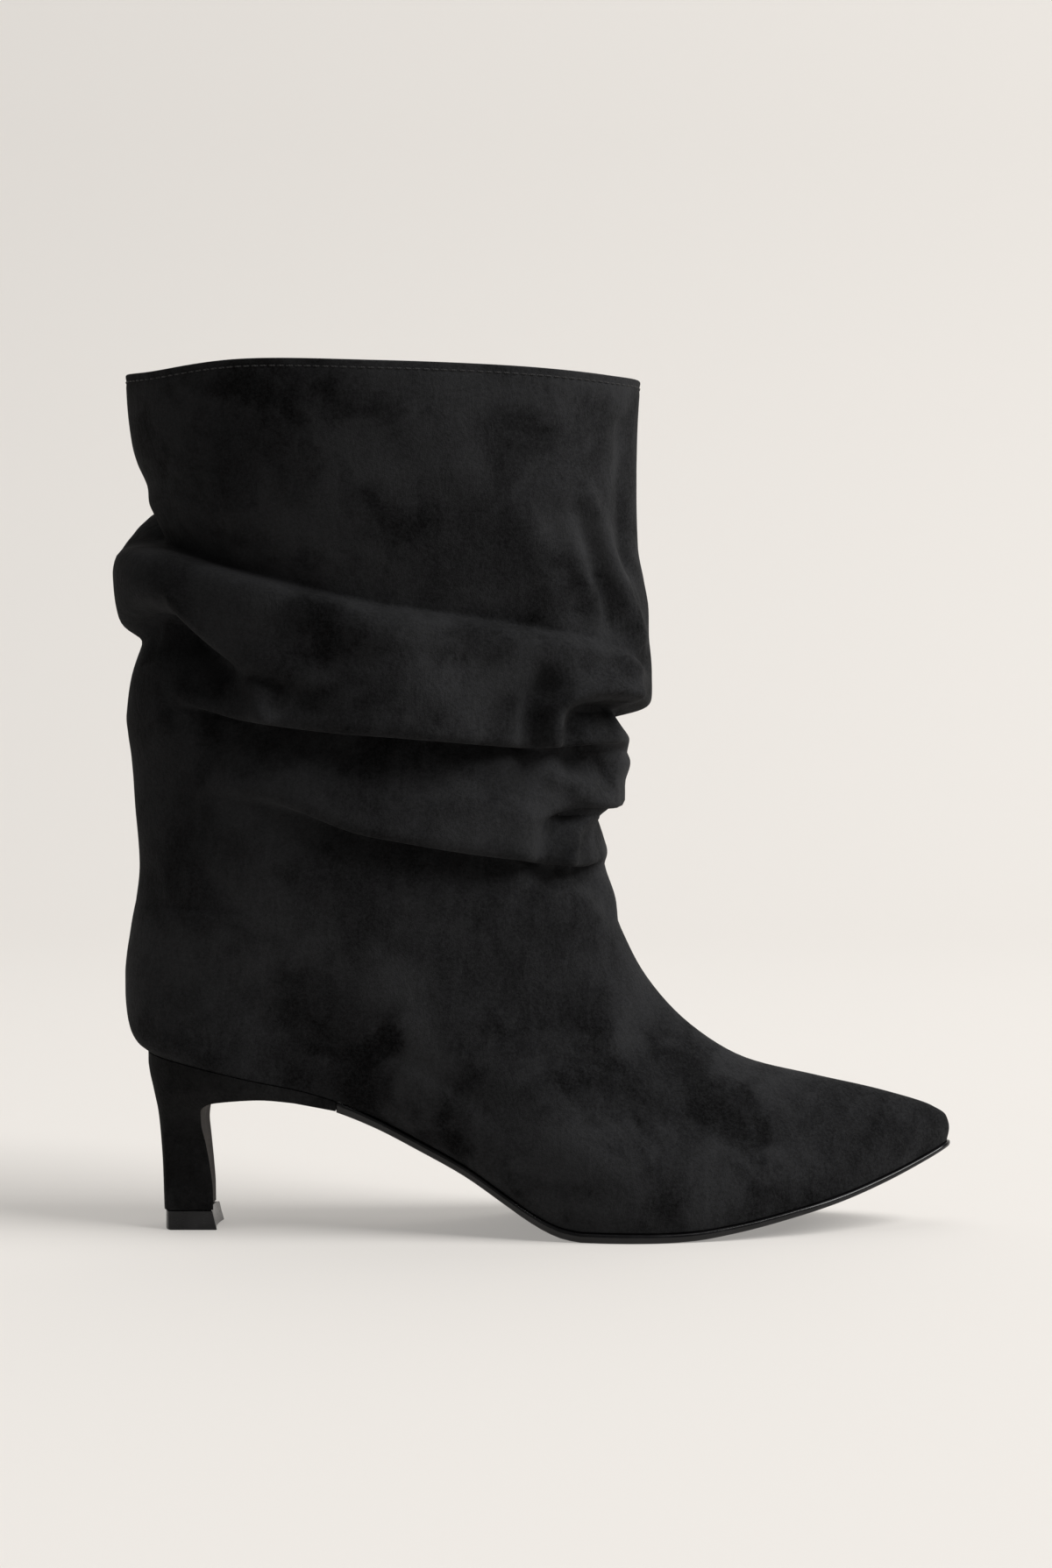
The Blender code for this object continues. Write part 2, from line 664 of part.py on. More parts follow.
# Heel tip
tip_rings = []
for up, lip in ((0.0, 1.0), (1.0, 0.0)):
    z = up * TIP_HEIGHT
    reach = TIP_LENGTH / 2.0
    front = reach + (lip - 1.15) * TIP_LIP
    ring = heel_loop(-reach, z, front, z, TIP_HALF + (lip - 1.0) * TIP_LIP * 0.2, 0.0, False)
    tip_rings.append(ring)
n = len(tip_rings[0])
verts, faces = loops([np.array(r) for r in tip_rings], False)
faces.append(tuple(range(n)))
faces.append(tuple(range(n, 2 * n)))
rubber = material("heel_tip_gloss", (0.01, 0.01, 0.01, 1.0), 0.3)
make("heel_tip", verts, faces, rubber, False)
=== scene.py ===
# Looks of the slouch boot: suede with its folds, lining, collar stitches, sole edge and heel.
# Lengths are millimetres until a mesh is made. Toe +X, inner side of the foot +Y, Z up.
import math

import bmesh
import bpy
import numpy as np
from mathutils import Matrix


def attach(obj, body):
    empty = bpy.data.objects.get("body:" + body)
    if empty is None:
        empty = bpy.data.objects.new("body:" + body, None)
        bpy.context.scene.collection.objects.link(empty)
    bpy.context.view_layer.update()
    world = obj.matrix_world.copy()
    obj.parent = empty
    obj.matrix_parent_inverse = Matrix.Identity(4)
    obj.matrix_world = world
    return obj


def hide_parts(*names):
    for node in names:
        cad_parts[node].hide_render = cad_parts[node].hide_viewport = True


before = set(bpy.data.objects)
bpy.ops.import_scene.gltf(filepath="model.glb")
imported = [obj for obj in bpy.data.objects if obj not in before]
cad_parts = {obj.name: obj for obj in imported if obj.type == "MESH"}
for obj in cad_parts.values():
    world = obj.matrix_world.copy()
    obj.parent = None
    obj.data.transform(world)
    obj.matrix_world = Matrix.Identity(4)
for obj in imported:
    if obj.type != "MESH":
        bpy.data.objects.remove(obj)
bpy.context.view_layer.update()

MM = 0.001
LENGTH = 246.0
HEIGHT = 263.0
HEEL_HEIGHT = 52.0
BALL_HALF = 39.0
SHAFT_HALF = 46.0
GAP = 0.3
SOLE_THICK = 3.0
FOLD = 10.0
RIM_TILT = 3.6
MARGIN = 9.5
SUEDE = 1.0
WALL = 1.9
HEEL_END = 45.2
TIP_HEIGHT = 5.9
TIP_LENGTH = 17.0
TIP_HALF = 10.6
TIP_LIP = 1.5
BREAST_TURN = 0.7
COVER_OUT = 0.2
# Long and short half axes of the girth along which creases are measured
GIRTH_LONG = 79.0
GIRTH_WIDE = 43.0
# Rounded edge of a hanging fold, as a share of its hang
LIP_EDGE = 1.7
# Row of stitches under the collar
STITCH_DROP = 2.3
STITCH_PITCH = 2.7
STITCH_SHARE = 0.8
STITCH_RADIUS = 0.24
STITCH_DIMPLE = 0.28
# Fineness of the meshes
COLUMNS = 300
LINING_COLUMNS = 200
LINING_FINENESS = 0.6
FOOT_RING_COUNT = 72
HEEL_RING_COUNT = 60
BREAST_RING_COUNT = 40
HEEL_SIDE = 30
HEEL_FRONT = 10
# Number of the last ring of the foot, at the ankle
LAST_RING = 9.0
# Studio
FLOOR_COLOUR = (0.80, 0.772, 0.738)
FLOOR_SHARE = 0.57
FLOOR_GLOW = 0.375
LIGHTS_AIM = (0.10, 0.0, 0.12)
CAMERA_LENS = 65.6
CAMERA_PLACE = (0.1027, -0.886, 0.1367)


# Curves through short tables


def smooth(xs, ys, x):
    """Monotone cubic through the listed stations."""
    xs = np.asarray(xs, float)
    ys = np.asarray(ys, float)
    x = np.clip(np.asarray(x, float), xs[0], xs[-1])
    h = np.diff(xs)
    d = np.diff(ys) / h
    m = np.zeros_like(ys)
    for i in range(1, len(xs) - 1):
        if d[i - 1] * d[i] > 0.0:
            w1 = 2.0 * h[i] + h[i - 1]
            w2 = h[i] + 2.0 * h[i - 1]
            m[i] = (w1 + w2) / (w1 / d[i - 1] + w2 / d[i])
    m[0] = d[0]
    m[-1] = d[-1]
    k = np.clip(np.searchsorted(xs, x, side="right") - 1, 0, len(xs) - 2)
    t = (x - xs[k]) / h[k]
    a = (1.0 + 2.0 * t) * (1.0 - t) ** 2
    b = t * (1.0 - t) ** 2
    c = t * t * (3.0 - 2.0 * t)
    e = t * t * (t - 1.0)
    return a * ys[k] + b * h[k] * m[k] + c * ys[k + 1] + e * h[k] * m[k + 1]


def around(values, theta):
    """Value at an angle round the shaft from stations 30 degrees apart.
    0 is the back, 90 the outer side, 180 the front, 270 the inner side."""
    n = len(values)
    step = 2.0 * math.pi / n
    xs = np.arange(-2, n + 3) * step
    ys = [values[i % n] for i in range(-2, n + 3)]
    return smooth(xs, ys, np.mod(theta, 2.0 * math.pi))


def share(theta):
    return (1.0 - np.cos(theta)) / 2.0


# The last: sole line, rings of the foot, lines of the shaft

# Underside of the sole and thickness of its edge, back to toe
SOLE_LINE = (
    # x of LENGTH, underside of HEEL_HEIGHT, thickness of SOLE_THICK
    (-0.0650, 0.9923, 1.000),
    (0.0000, 0.9346, 1.000),
    (0.0813, 0.8519, 1.000),
    (0.1423, 0.7885, 1.000),
    (0.1829, 0.7269, 1.000),
    (0.2337, 0.6269, 1.000),
    (0.2878, 0.4981, 1.000),
    (0.3415, 0.3635, 1.000),
    (0.3959, 0.1904, 1.000),
    (0.4179, 0.1192, 1.000),
    (0.4398, 0.0596, 1.000),
    (0.4610, 0.0192, 0.983),
    (0.4878, 0.0000, 0.967),
    (0.5813, 0.0000, 0.900),
    (0.6179, 0.0067, 0.867),
    (0.6707, 0.0404, 0.800),
    (0.7520, 0.1212, 0.733),
    (0.8089, 0.1923, 0.667),
    (0.8659, 0.2865, 0.633),
    (0.9187, 0.3923, 0.567),
    (0.9593, 0.4788, 0.533),
)
SOLE_X = [row[0] * LENGTH for row in SOLE_LINE]


def under(x):
    return smooth(SOLE_X, [row[1] * HEEL_HEIGHT for row in SOLE_LINE], x)


def seat(x):
    """Surface that the upper's bottom follows."""
    thick = smooth(SOLE_X, [row[2] * SOLE_THICK for row in SOLE_LINE], x)
    return under(x) + thick + GAP


# Rings of the foot: back and front points as shares of LENGTH and HEIGHT,
# droop is the share of the sole's arch that the ring keeps
FOOT_RINGS = (
    # back_x, back_z, front_x, front_z, droop
    (-0.0575, 0.2050, 0.9518, 0.0955, 1.00),
    (-0.0710, 0.2150, 0.9540, 0.1090, 0.97),
    (-0.0798, 0.2300, 0.9498, 0.1240, 0.92),
    (-0.0845, 0.2510, 0.9300, 0.1372, 0.82),
    (-0.0864, 0.2740, 0.8640, 0.1570, 0.68),
    (-0.0866, 0.2970, 0.7820, 0.1750, 0.54),
    (-0.0848, 0.3190, 0.6960, 0.1954, 0.38),
    (-0.0815, 0.3400, 0.6190, 0.2406, 0.22),
    (-0.0782, 0.3600, 0.5635, 0.3012, 0.10),
    (-0.0742, 0.3800, 0.5325, 0.3590, 0.03),
)
# Half widths of those rings over an ellipse, shares of BALL_HALF, at stations along the ring
STATIONS = (0.0, 0.10, 0.30, 0.47, 0.62, 0.80, 0.93, 1.0)
RING_WIDTHS = (
    # ring, back, heel, waist, joint, ball, vamp, toe, tip
    (0.0, 1.42, 1.16, 0.58, 0.78, 1.01, 0.90, 0.70, 0.58),
    (1.5, 1.45, 1.18, 0.68, 0.84, 1.04, 0.89, 0.67, 0.53),
    (3.0, 1.42, 1.15, 0.77, 0.86, 1.04, 0.84, 0.63, 0.48),
    (5.0, 1.27, 1.09, 0.84, 0.82, 0.90, 0.77, 0.62, 0.50),
    (7.0, 1.10, 1.04, 0.92, 0.90, 0.88, 0.78, 0.65, 0.56),
    (9.0, 0.98, 1.00, 0.96, 0.955, 0.935, 0.91, 0.86, 0.80),
)
CENTRE = (
    # x of LENGTH, sideways position of the centre line of BALL_HALF
    (-0.0813, 0.0000),
    (0.0813, -0.0103),
    (0.2520, -0.0615),
    (0.4268, -0.0154),
    (0.5691, 0.0410),
    (0.7724, 0.1077),
    (0.9512, 0.1641),
)
# Back and front lines and half width of the shaft before its folds
SHAFT_LINES = (
    # z of HEIGHT, back_x of LENGTH, front_x of LENGTH, half of SHAFT_HALF
    (0.3574, -0.0772, 0.5341, 0.800),
    (0.3802, -0.0740, 0.5325, 0.812),
    (0.4259, -0.0695, 0.5228, 0.835),
    (0.4563, -0.0699, 0.5244, 0.850),
    (0.4867, -0.0711, 0.5329, 0.865),
    (0.5209, -0.0728, 0.5439, 0.885),
    (0.5513, -0.0768, 0.5642, 0.895),
    (0.5779, -0.0829, 0.5663, 0.903),
    (0.6008, -0.0870, 0.5626, 0.910),
    (0.6844, -0.0870, 0.5650, 0.925),
    (0.7300, -0.0870, 0.5703, 0.932),
    (0.7605, -0.0862, 0.5654, 0.940),
    (0.7985, -0.0854, 0.5585, 0.948),
    (0.8441, -0.0854, 0.5577, 0.960),
    (0.8707, -0.0785, 0.5577, 0.968),
    (0.8973, -0.0833, 0.5573, 0.978),
    (0.9163, -0.0854, 0.5573, 0.985),
    (1.0038, -0.0866, 0.5626, 1.000),
)
# Folds of the slouched shaft. line is the crease's height as a share of HEIGHT at 12 stations
# 30 degrees apart, from the back over the outer side, the front and the inner side.
# depth, bulge and hang at the same stations, tuck, above and below are shares of FOLD.
# side +1 has its roll above the crease and -1 below it.
FOLDS = (
    {
        "name": "upper_tuck",
        "side": -1,
        "line": (
            0.8099, 0.7947, 0.7605, 0.7243, 0.7034, 0.6825,
            0.6502, 0.6768, 0.7034, 0.7338, 0.7871, 0.8612,
        ),
        "depth": (1.26, 1.18, 0.80, 0.54, 0.48, 0.40, 0, 0.34, 0.46, 0.50, 0.70, 0.92),
        "bulge": (0.41, 0.48, 0.44, 0.36, 0.34, 0.26, 0, 0.24, 0.34, 0.36, 0.40, 0.36),
        "hang": (0.24, 0.30, 0.26, 0.18, 0.16, 0.14, 0, 0.12, 0.20, 0.20, 0.24, 0.24),
        "tuck": 0.46,
        "above": 2.80,
        "below": 1.80,
    },
    {
        "name": "heel_pocket",
        "side": 1,
        "line": (
            0.6882, 0.7110, 0.6426, 0.6084, 0.6084, 0.6084,
            0.6084, 0.6084, 0.6084, 0.6654, 0.7072, 0.6958,
        ),
        "depth": (0.50, 0.80, 0.60, 0, 0, 0, 0, 0, 0, 0, 0.30, 0.50),
        "bulge": (0.20, 0.18, 0.18, 0, 0, 0, 0, 0, 0, 0, 0.10, 0.16),
        "hang": (0.06, 0.10, 0.10, 0, 0, 0, 0, 0, 0, 0, 0.04, 0.06),
        "tuck": 0.44,
        "above": 2.00,
        "below": 1.00,
    },
    {
        "name": "lower_roll",
        "side": 1,
        "line": (
            0.6160, 0.6122, 0.5932, 0.5817, 0.5703, 0.5646,
            0.5570, 0.5665, 0.5779, 0.5894, 0.6008, 0.6160,
        ),
        "depth": (0, 0, 0.50, 0.65, 0.75, 0.60, 0.20, 0.50, 0.60, 0.60, 0.40, 0),
        "bulge": (0, 0, 0.34, 0.46, 0.48, 0.36, 0.16, 0.34, 0.46, 0.46, 0.26, 0),
        "hang": (0, 0, 0.50, 0.70, 0.70, 0.36, 0.02, 0.36, 0.70, 0.70, 0.50, 0),
        "tuck": 0.32,
        "above": 2.40,
        "below": 1.00,
    },
    {
        "name": "front_lip",
        "side": 1,
        "line": (
            0.6008, 0.6008, 0.6008, 0.5970, 0.5970, 0.6084,
            0.5939, 0.6084, 0.6008, 0.6008, 0.6008, 0.6008,
        ),
        "depth": (0, 0, 0, 0, 0, 0.65, 1.24, 0.65, 0, 0, 0, 0),
        "bulge": (0, 0, 0, 0, 0, 0.20, 0.26, 0.20, 0, 0, 0, 0),
        "hang": (0, 0, 0, 0, 0, 0.16, 0.08, 0.16, 0, 0, 0, 0),
        "tuck": 0.36,
        "above": 4.00,
        "below": 0.68,
    },
    {
        "name": "ankle_roll",
        "side": 1,
        "line": (
            0.5095, 0.5095, 0.4981, 0.4658, 0.4422, 0.4297,
            0.4259, 0.4297, 0.4411, 0.4601, 0.4867, 0.5057,
        ),
        "depth": (0, 0, 0.12, 0.50, 0.60, 0.54, 0.10, 0.40, 0.50, 0.45, 0.20, 0),
        "bulge": (0, 0, 0.08, 0.32, 0.38, 0.32, 0.08, 0.28, 0.34, 0.32, 0.12, 0),
        "hang": (0, 0, 0.10, 0.60, 0.60, 0.60, 0.10, 0.50, 0.60, 0.50, 0.20, 0),
        "tuck": 0.32,
        "above": 2.20,
        "below": 1.00,
    },
    {
        "name": "ankle_lip",
        "side": 1,
        "line": (
            0.4715, 0.4715, 0.4715, 0.4715, 0.4639, 0.4886,
            0.4875, 0.4886, 0.4639, 0.4715, 0.4715, 0.4715,
        ),
        "depth": (0, 0, 0, 0, 0, 0.34, 0.64, 0.40, 0, 0, 0, 0),
        "bulge": (0, 0, 0, 0, 0, 0.12, 0.16, 0.12, 0, 0, 0, 0),
        "hang": (0, 0, 0, 0, 0, 0.30, 0.30, 0.30, 0, 0, 0, 0),
        "tuck": 0.32,
        "above": 1.80,
        "below": 0.90,
    },
)

# Small creases laid over the folds, in side view: points (x, z) along each,
# side -1 is the outer side of the foot and +1 the inner side.
# height is outward, negative for a trough; width is its half width.
CREASES = (
    # side, height, width, points
    # pocket under the front tip
    (-1, -6.2, 4.4, ((102.4, 152.0), (103.0, 157.2), (104.8, 162.2), (107.7, 166.1))),
    (-1, 4.4, 3.0, ((108.5, 151.5), (110.0, 157.5), (113.5, 162.3),
                    (119.0, 165.3), (126.0, 166.0), (132.0, 164.6))),
    (-1, -1.2, 5.0, ((92.3, 158.1), (93.9, 151.4))),
    (-1, -4.2, 3.6, ((115.3, 154.7), (119.0, 158.7), (124.4, 160.6), (129.3, 159.7))),
    # ridge and valley that run down to the tip
    (-1, 2.6, 4.6, ((115.8, 182.0), (122.7, 180.1), (128.7, 176.9), (133.1, 172.6))),
    # soft drapes down the front of the upper shaft
    (-1, 2.8, 4.2, ((120.6, 222.1), (125.2, 211.9), (130.3, 201.6), (134.2, 191.2), (136.5, 182.2))),
    (-1, 2.2, 4.6, ((113.2, 223.8), (117.1, 213.5), (120.6, 200.5), (123.8, 188.8))),
    (-1, -2.4, 4.0, ((117.1, 219.3), (121.7, 208.5), (126.2, 197.1), (129.7, 188.3))),
    (-1, -1.8, 4.0, ((132.6, 244.7), (131.5, 225.8), (133.1, 204.5))),
    (-1, 1.2, 6.0, ((102.7, 218.6), (106.6, 203.1), (113.2, 187.6))),
    # front end of the second roll
    (-1, -3.6, 4.2, ((119.6, 144.2), (126.0, 142.7), (130.6, 140.6))),
    (-1, 2.4, 2.8, ((112.2, 138.4), (120.7, 135.2), (129.0, 131.5))),
    # pocket at the ankle's front
    (-1, -5.2, 4.0, ((106.6, 117.4), (108.2, 121.6), (111.9, 125.2), (117.0, 127.8))),
    (-1, 3.2, 2.6, ((112.7, 114.6), (114.1, 119.1), (117.0, 123.3), (121.3, 126.5), (125.4, 127.5))),
    (-1, 1.4, 1.8, ((114.6, 116.2), (119.2, 112.4))),
    (-1, -1.8, 2.6, ((118.6, 119.3), (124.1, 115.4))),
    (-1, -2.2, 5.0, ((122.7, 108.5), (129.1, 98.9))),
    # knob and pocket at the back
    (-1, 3.0, 3.2, ((-0.6, 191.0), (4.4, 183.5), (12.7, 175.4), (22.0, 166.5), (25.8, 160.2))),
    (-1, -5.2, 7.0, ((-3.7, 184.8), (3.1, 176.7), (9.1, 171.3))),
    (-1, -2.0, 4.0, ((-14.5, 178.9), (-7.8, 178.1), (-1.2, 180.5))),
    (-1, -1.0, 7.0, ((-1.2, 170.0), (8.5, 165.3))),
    # slow dents in the rolls and below them
    (-1, -1.3, 9.0, ((34.0, 185.8), (44.5, 170.2))),
    (-1, 1.0, 10.0, ((58.7, 180.5), (74.2, 161.2))),
    (-1, -1.2, 8.0, ((83.3, 178.0), (92.3, 157.4))),
    (-1, -1.0, 9.0, ((45.7, 143.1), (69.0, 134.0))),
    (-1, 0.9, 9.0, ((81.9, 140.5), (102.7, 128.7))),
    (-1, -0.5, 2.5, ((30.3, 107.1), (39.7, 100.4))),
    # the inner side's own
    (1, -3.6, 4.5, ((100.0, 154.0), (104.0, 161.0), (109.0, 168.0))),
    (1, 2.6, 3.0, ((107.0, 156.0), (110.5, 161.2), (116.0, 165.0), (122.0, 167.0))),
    (1, -2.4, 4.0, ((124.0, 186.0), (130.0, 178.0), (134.0, 171.0))),
    (1, 1.6, 5.0, ((110.0, 222.0), (115.0, 210.0), (121.0, 196.0))),
    (1, -1.6, 5.0, ((40.0, 172.0), (60.0, 168.0), (82.0, 171.0))),
    (1, 1.6, 4.0, ((20.0, 190.0), (34.0, 180.0), (44.0, 168.0))),
    (1, -2.4, 4.5, ((104.0, 118.0), (108.0, 124.0), (113.0, 128.0))),
    (1, 2.0, 3.0, ((109.0, 118.0), (113.0, 123.5), (120.0, 128.0))),
)


def shaft_line(z, column):
    size = (HEIGHT, LENGTH, LENGTH, SHAFT_HALF)[column]
    return smooth([row[0] * HEIGHT for row in SHAFT_LINES], [row[column] * size for row in SHAFT_LINES], z)


# Distance round the shaft from the back, by angle
ANGLES = np.linspace(0.0, 2.0 * math.pi, 721)
ARCS = np.hypot(GIRTH_LONG * np.diff(np.cos(ANGLES)), GIRTH_WIDE * np.diff(np.sin(ANGLES)))
GIRTH = np.concatenate([[0.0], np.cumsum(ARCS)])

# Slow waves of the leather round the shaft
WAVES = (
    # height, waves round the shaft, rise that turns one by a radian, start
    (0.35, 3.0, 17.0, 0.0),
    (0.30, 5.0, -11.0, 1.3),
    (0.18, 9.0, 7.0, 0.6),
)
WAVES_START = 96.0
WAVES_END = 262.0


def reach(theta):
    return np.interp(np.mod(theta, 2.0 * math.pi), ANGLES, GIRTH)


def crease_shift(theta, z):
    """Outward move from the small creases and the leather's slow waves."""
    a = reach(theta)
    out = np.zeros_like(z)
    for side, height, width, points in CREASES:
        px = np.array([p[0] for p in points])
        pz = np.array([p[1] for p in points])
        back = shaft_line(pz, 1)
        s = np.clip((px - back) / (shaft_line(pz, 2) - back), 0.0, 1.0)
        angle = np.arccos(1.0 - 2.0 * s)
        pa = reach(angle if side < 0 else 2.0 * math.pi - angle)
        near = np.full(z.shape, 1e9)
        for i in range(len(pa) - 1):
            da = pa[i + 1] - pa[i]
            dz = pz[i + 1] - pz[i]
            t = np.clip(((a - pa[i]) * da + (z - pz[i]) * dz) / (da * da + dz * dz), 0.0, 1.0)
            near = np.minimum(near, (a - pa[i] - t * da) ** 2 + (z - pz[i] - t * dz) ** 2)
        out += height * np.exp(-near / width ** 2)
    turns = 2.0 * math.pi / GIRTH[-1]
    wave = np.zeros_like(z)
    for height, count, rise, start in WAVES:
        wave += height * np.sin(count * turns * a + z / rise + start)
    wave *= np.clip((z - WAVES_START) / 20.0, 0.0, 1.0)
    wave *= np.clip((WAVES_END - z) / 24.0, 0.25, 1.0)
    return out + wave


def fold_shift(theta, z, detail):
    """Outward and upward move of the shaft's skin."""
    out = np.zeros_like(z)
    lift = np.zeros_like(z)
    for fold in FOLDS:
        side = fold["side"]
        d = (z - around(fold["line"], theta) * HEIGHT) * side / FOLD
        depth = around(fold["depth"], theta) * FOLD
        u = np.clip(d / fold["above"], 0.0, 1.0)
        swell = 6.75 * u * (1.0 - u) ** 2
        near = np.exp(-((np.maximum(d, 0.0) / fold["tuck"]) ** 2))
        far = np.exp(-((np.maximum(-d, 0.0) / fold["below"]) ** 1.4))
        out += around(fold["bulge"], theta) * FOLD * swell - depth * np.where(d > 0.0, near, far)
        if detail:
            out += LIP_EDGE * around(fold["hang"], theta) * np.exp(-(((d - 0.58) / 0.17) ** 2))
        v = np.clip(d, 0.0, 1.0)
        lift -= side * around(fold["hang"], theta) * FOLD * 16.0 * v * v * (1.0 - v) ** 2
    return out, lift


def centre_line(x):
    return smooth([c[0] * LENGTH for c in CENTRE], [c[1] * BALL_HALF for c in CENTRE], x)


def foot_ring(r, theta):
    """Points of foot ring r, a number from 0 at the sole to LAST_RING at the ankle."""
    index = np.arange(len(FOOT_RINGS))
    col = [float(smooth(index, [row[i] for row in FOOT_RINGS], r)) for i in range(5)]
    back_x = col[0] * LENGTH
    front_x = col[2] * LENGTH
    back_z = col[1] * HEIGHT
    front_z = col[3] * HEIGHT
    s = share(theta)
    x = back_x + s * (front_x - back_x)
    first = FOOT_RINGS[0]
    x0 = (first[0] + s * (first[2] - first[0])) * LENGTH
    z0 = (first[1] + s * (first[3] - first[1])) * HEIGHT
    z = back_z + s * (front_z - back_z) - col[4] * (z0 - seat(x0))
    rings = [row[0] for row in RING_WIDTHS]
    widths = [float(smooth(rings, [row[i + 1] for row in RING_WIDTHS], r)) for i in range(8)]
    half = smooth(STATIONS, widths, s) * BALL_HALF
    sway = centre_line(x)
    y = -np.sin(theta) * half + sway * (1.0 - r / LAST_RING)
    return np.stack([x, y, z], 1)


def shaft_point(theta, z, detail):
    back = shaft_line(z, 1)
    front = shaft_line(z, 2)
    half = shaft_line(z, 3)
    s = share(theta)
    x = back + s * (front - back)
    y = -np.sin(theta) * half
    tx = np.sin(theta) * (front - back) / 2.0
    ty = -np.cos(theta) * half
    size = np.hypot(tx, ty)
    out, lift = fold_shift(theta, z, detail)
    if detail:
        out = out + crease_shift(theta, z)
        below_rim = rim_height(theta) - z
        out = out - STITCH_DIMPLE * np.exp(-(((below_rim - STITCH_DROP) / 0.7) ** 2))
    return np.stack([x + ty / size * out, y - tx / size * out, z + lift], 1)


# Dip of the collar at the 12 stations, shares of RIM_TILT
RIM_DIPS = (0.0, 0.42, 0.06, 0.42, 0.63, 0.74, 0.5, 0.5, 0.5, 0.42, 0.28, 0.1)


def rim_height(theta):
    return HEIGHT - RIM_TILT * around(RIM_DIPS, theta)


def level(name, theta):
    if name == "rim":
        return rim_height(theta)
    if name == "ankle":
        return foot_ring(LAST_RING, theta)[:, 2]
    for fold in FOLDS:
        if fold["name"] == name:
            return around(fold["line"], theta) * HEIGHT
    return None


BANDS = (
    # from, to, rings
    ("ankle", "ankle_roll", 22),
    ("ankle_roll", "lower_roll", 34),
    ("lower_roll", "upper_tuck", 48),
    ("upper_tuck", "rim", 52),
)


def skin(columns, fineness, detail):
    """Grid of rings from the sole edge to the rim."""
    theta = np.arange(columns) * 2.0 * math.pi / columns
    foot_count = max(12, int(FOOT_RING_COUNT * fineness))
    steps = np.linspace(0.0, 1.0, foot_count, endpoint=False)
    rings = [foot_ring(r, theta) for r in LAST_RING * (0.35 * steps ** 2 + 0.65 * steps)]
    rings.append(shaft_point(theta, level("ankle", theta), False))
    for low, high, count in BANDS:
        z_low = level(low, theta)
        z_high = level(high, theta)
        count = max(5, int(count * fineness))
        for i in range(1, count + 1):
            u = i / count
            f = 0.5 * u + 0.25 * (1.0 - math.cos(math.pi * u))
            rings.append(shaft_point(theta, z_low + f * (z_high - z_low), detail))
    return theta, np.array(rings)


def grid_normals(grid):
    along = np.empty_like(grid)
    along[1:-1] = grid[2:] - grid[:-2]
    along[0] = grid[1] - grid[0]
    along[-1] = grid[-1] - grid[-2]
    ring = np.roll(grid, -1, 1) - np.roll(grid, 1, 1)
    n = np.cross(along, ring)
    n /= np.maximum(np.linalg.norm(n, axis=2), 1e-9)[:, :, None]
    if np.sum(n * (grid - grid.mean(axis=1)[:, None, :])) < 0.0:
        n = -n
    return n


# Mesh helpers

# Metres between points that count as one
SAME_POINT = 0.000004


def add_mesh(name, verts, faces, mats, face_mats=None, bevel=0.0):
    mesh = bpy.data.meshes.new(name)
    mesh.from_pydata((np.asarray(verts) * MM).tolist(), [], faces)
    mesh.validate()
    for mat in mats:
        mesh.materials.append(mat)
    if face_mats is not None and len(face_mats) == len(mesh.polygons):
        mesh.polygons.foreach_set("material_index", face_mats)
    obj = bpy.data.objects.new(name, mesh)
    bpy.context.scene.collection.objects.link(obj)
    mesh.polygons.foreach_set("use_smooth", [True] * len(mesh.polygons))
    if bevel > 0.0:
        mod = obj.modifiers.new("edges", "BEVEL")
        mod.width = bevel * MM
        mod.segments = 3
        mod.limit_method = "ANGLE"
        mod.angle_limit = math.radians(38.0)
        mod.harden_normals = True
    return obj


def recalc(obj):
    """Join points that coincide and turn every face outward."""
    bm = bmesh.new()
    bm.from_mesh(obj.data)
    bmesh.ops.remove_doubles(bm, verts=bm.verts[:], dist=SAME_POINT)
    bmesh.ops.recalc_face_normals(bm, faces=bm.faces[:])
    bm.to_mesh(obj.data)
    bm.free()


def ring_faces(count, n, closed, start=0):
    faces = []
    for i in range(count if closed else count - 1):
        a = start + i * n
        b = start + ((i + 1) % count) * n
        for j in range(n):
            k = (j + 1) % n
            faces.append((a + j, a + k, b + k, b + j))
    return faces


# Finishes


def new_material(name):
    mat = bpy.data.materials.new(name)
    mat.use_nodes = True
    tree = mat.node_tree
    return mat, tree, tree.nodes["Principled BSDF"]


def noise(tree, coords, scale, detail, rough=0.5, distortion=0.0):
    node = tree.nodes.new("ShaderNodeTexNoise")
    node.inputs["Scale"].default_value = scale
    node.inputs["Detail"].default_value = detail
    node.inputs["Roughness"].default_value = rough
    node.inputs["Distortion"].default_value = distortion
    tree.links.new(coords, node.inputs["Vector"])
    return node.outputs["Fac"]


def ramp(tree, value, low, high, first=0.0, last=1.0):
    node = tree.nodes.new("ShaderNodeMapRange")
    node.interpolation_type = "SMOOTHSTEP"
    node.inputs["From Min"].default_value = low
    node.inputs["From Max"].default_value = high
    node.inputs["To Min"].default_value = first
    node.inputs["To Max"].default_value = last
    tree.links.new(value, node.inputs["Value"])
    return node.outputs["Result"]


def maths(tree, kind, a, b):
    node = tree.nodes.new("ShaderNodeMath")
    node.operation = kind
    for socket, value in zip(node.inputs, (a, b)):
        if isinstance(value, (int, float)):
            socket.default_value = value
        else:
            tree.links.new(value, socket)
    return node.outputs[0]


def blend_colour(tree, factor, dark, light):
    node = tree.nodes.new("ShaderNodeMix")
    node.data_type = "RGBA"
    node.inputs["A"].default_value = (*dark, 1.0)
    node.inputs["B"].default_value = (*light, 1.0)
    tree.links.new(factor, node.inputs["Factor"])
    return node.outputs["Result"]


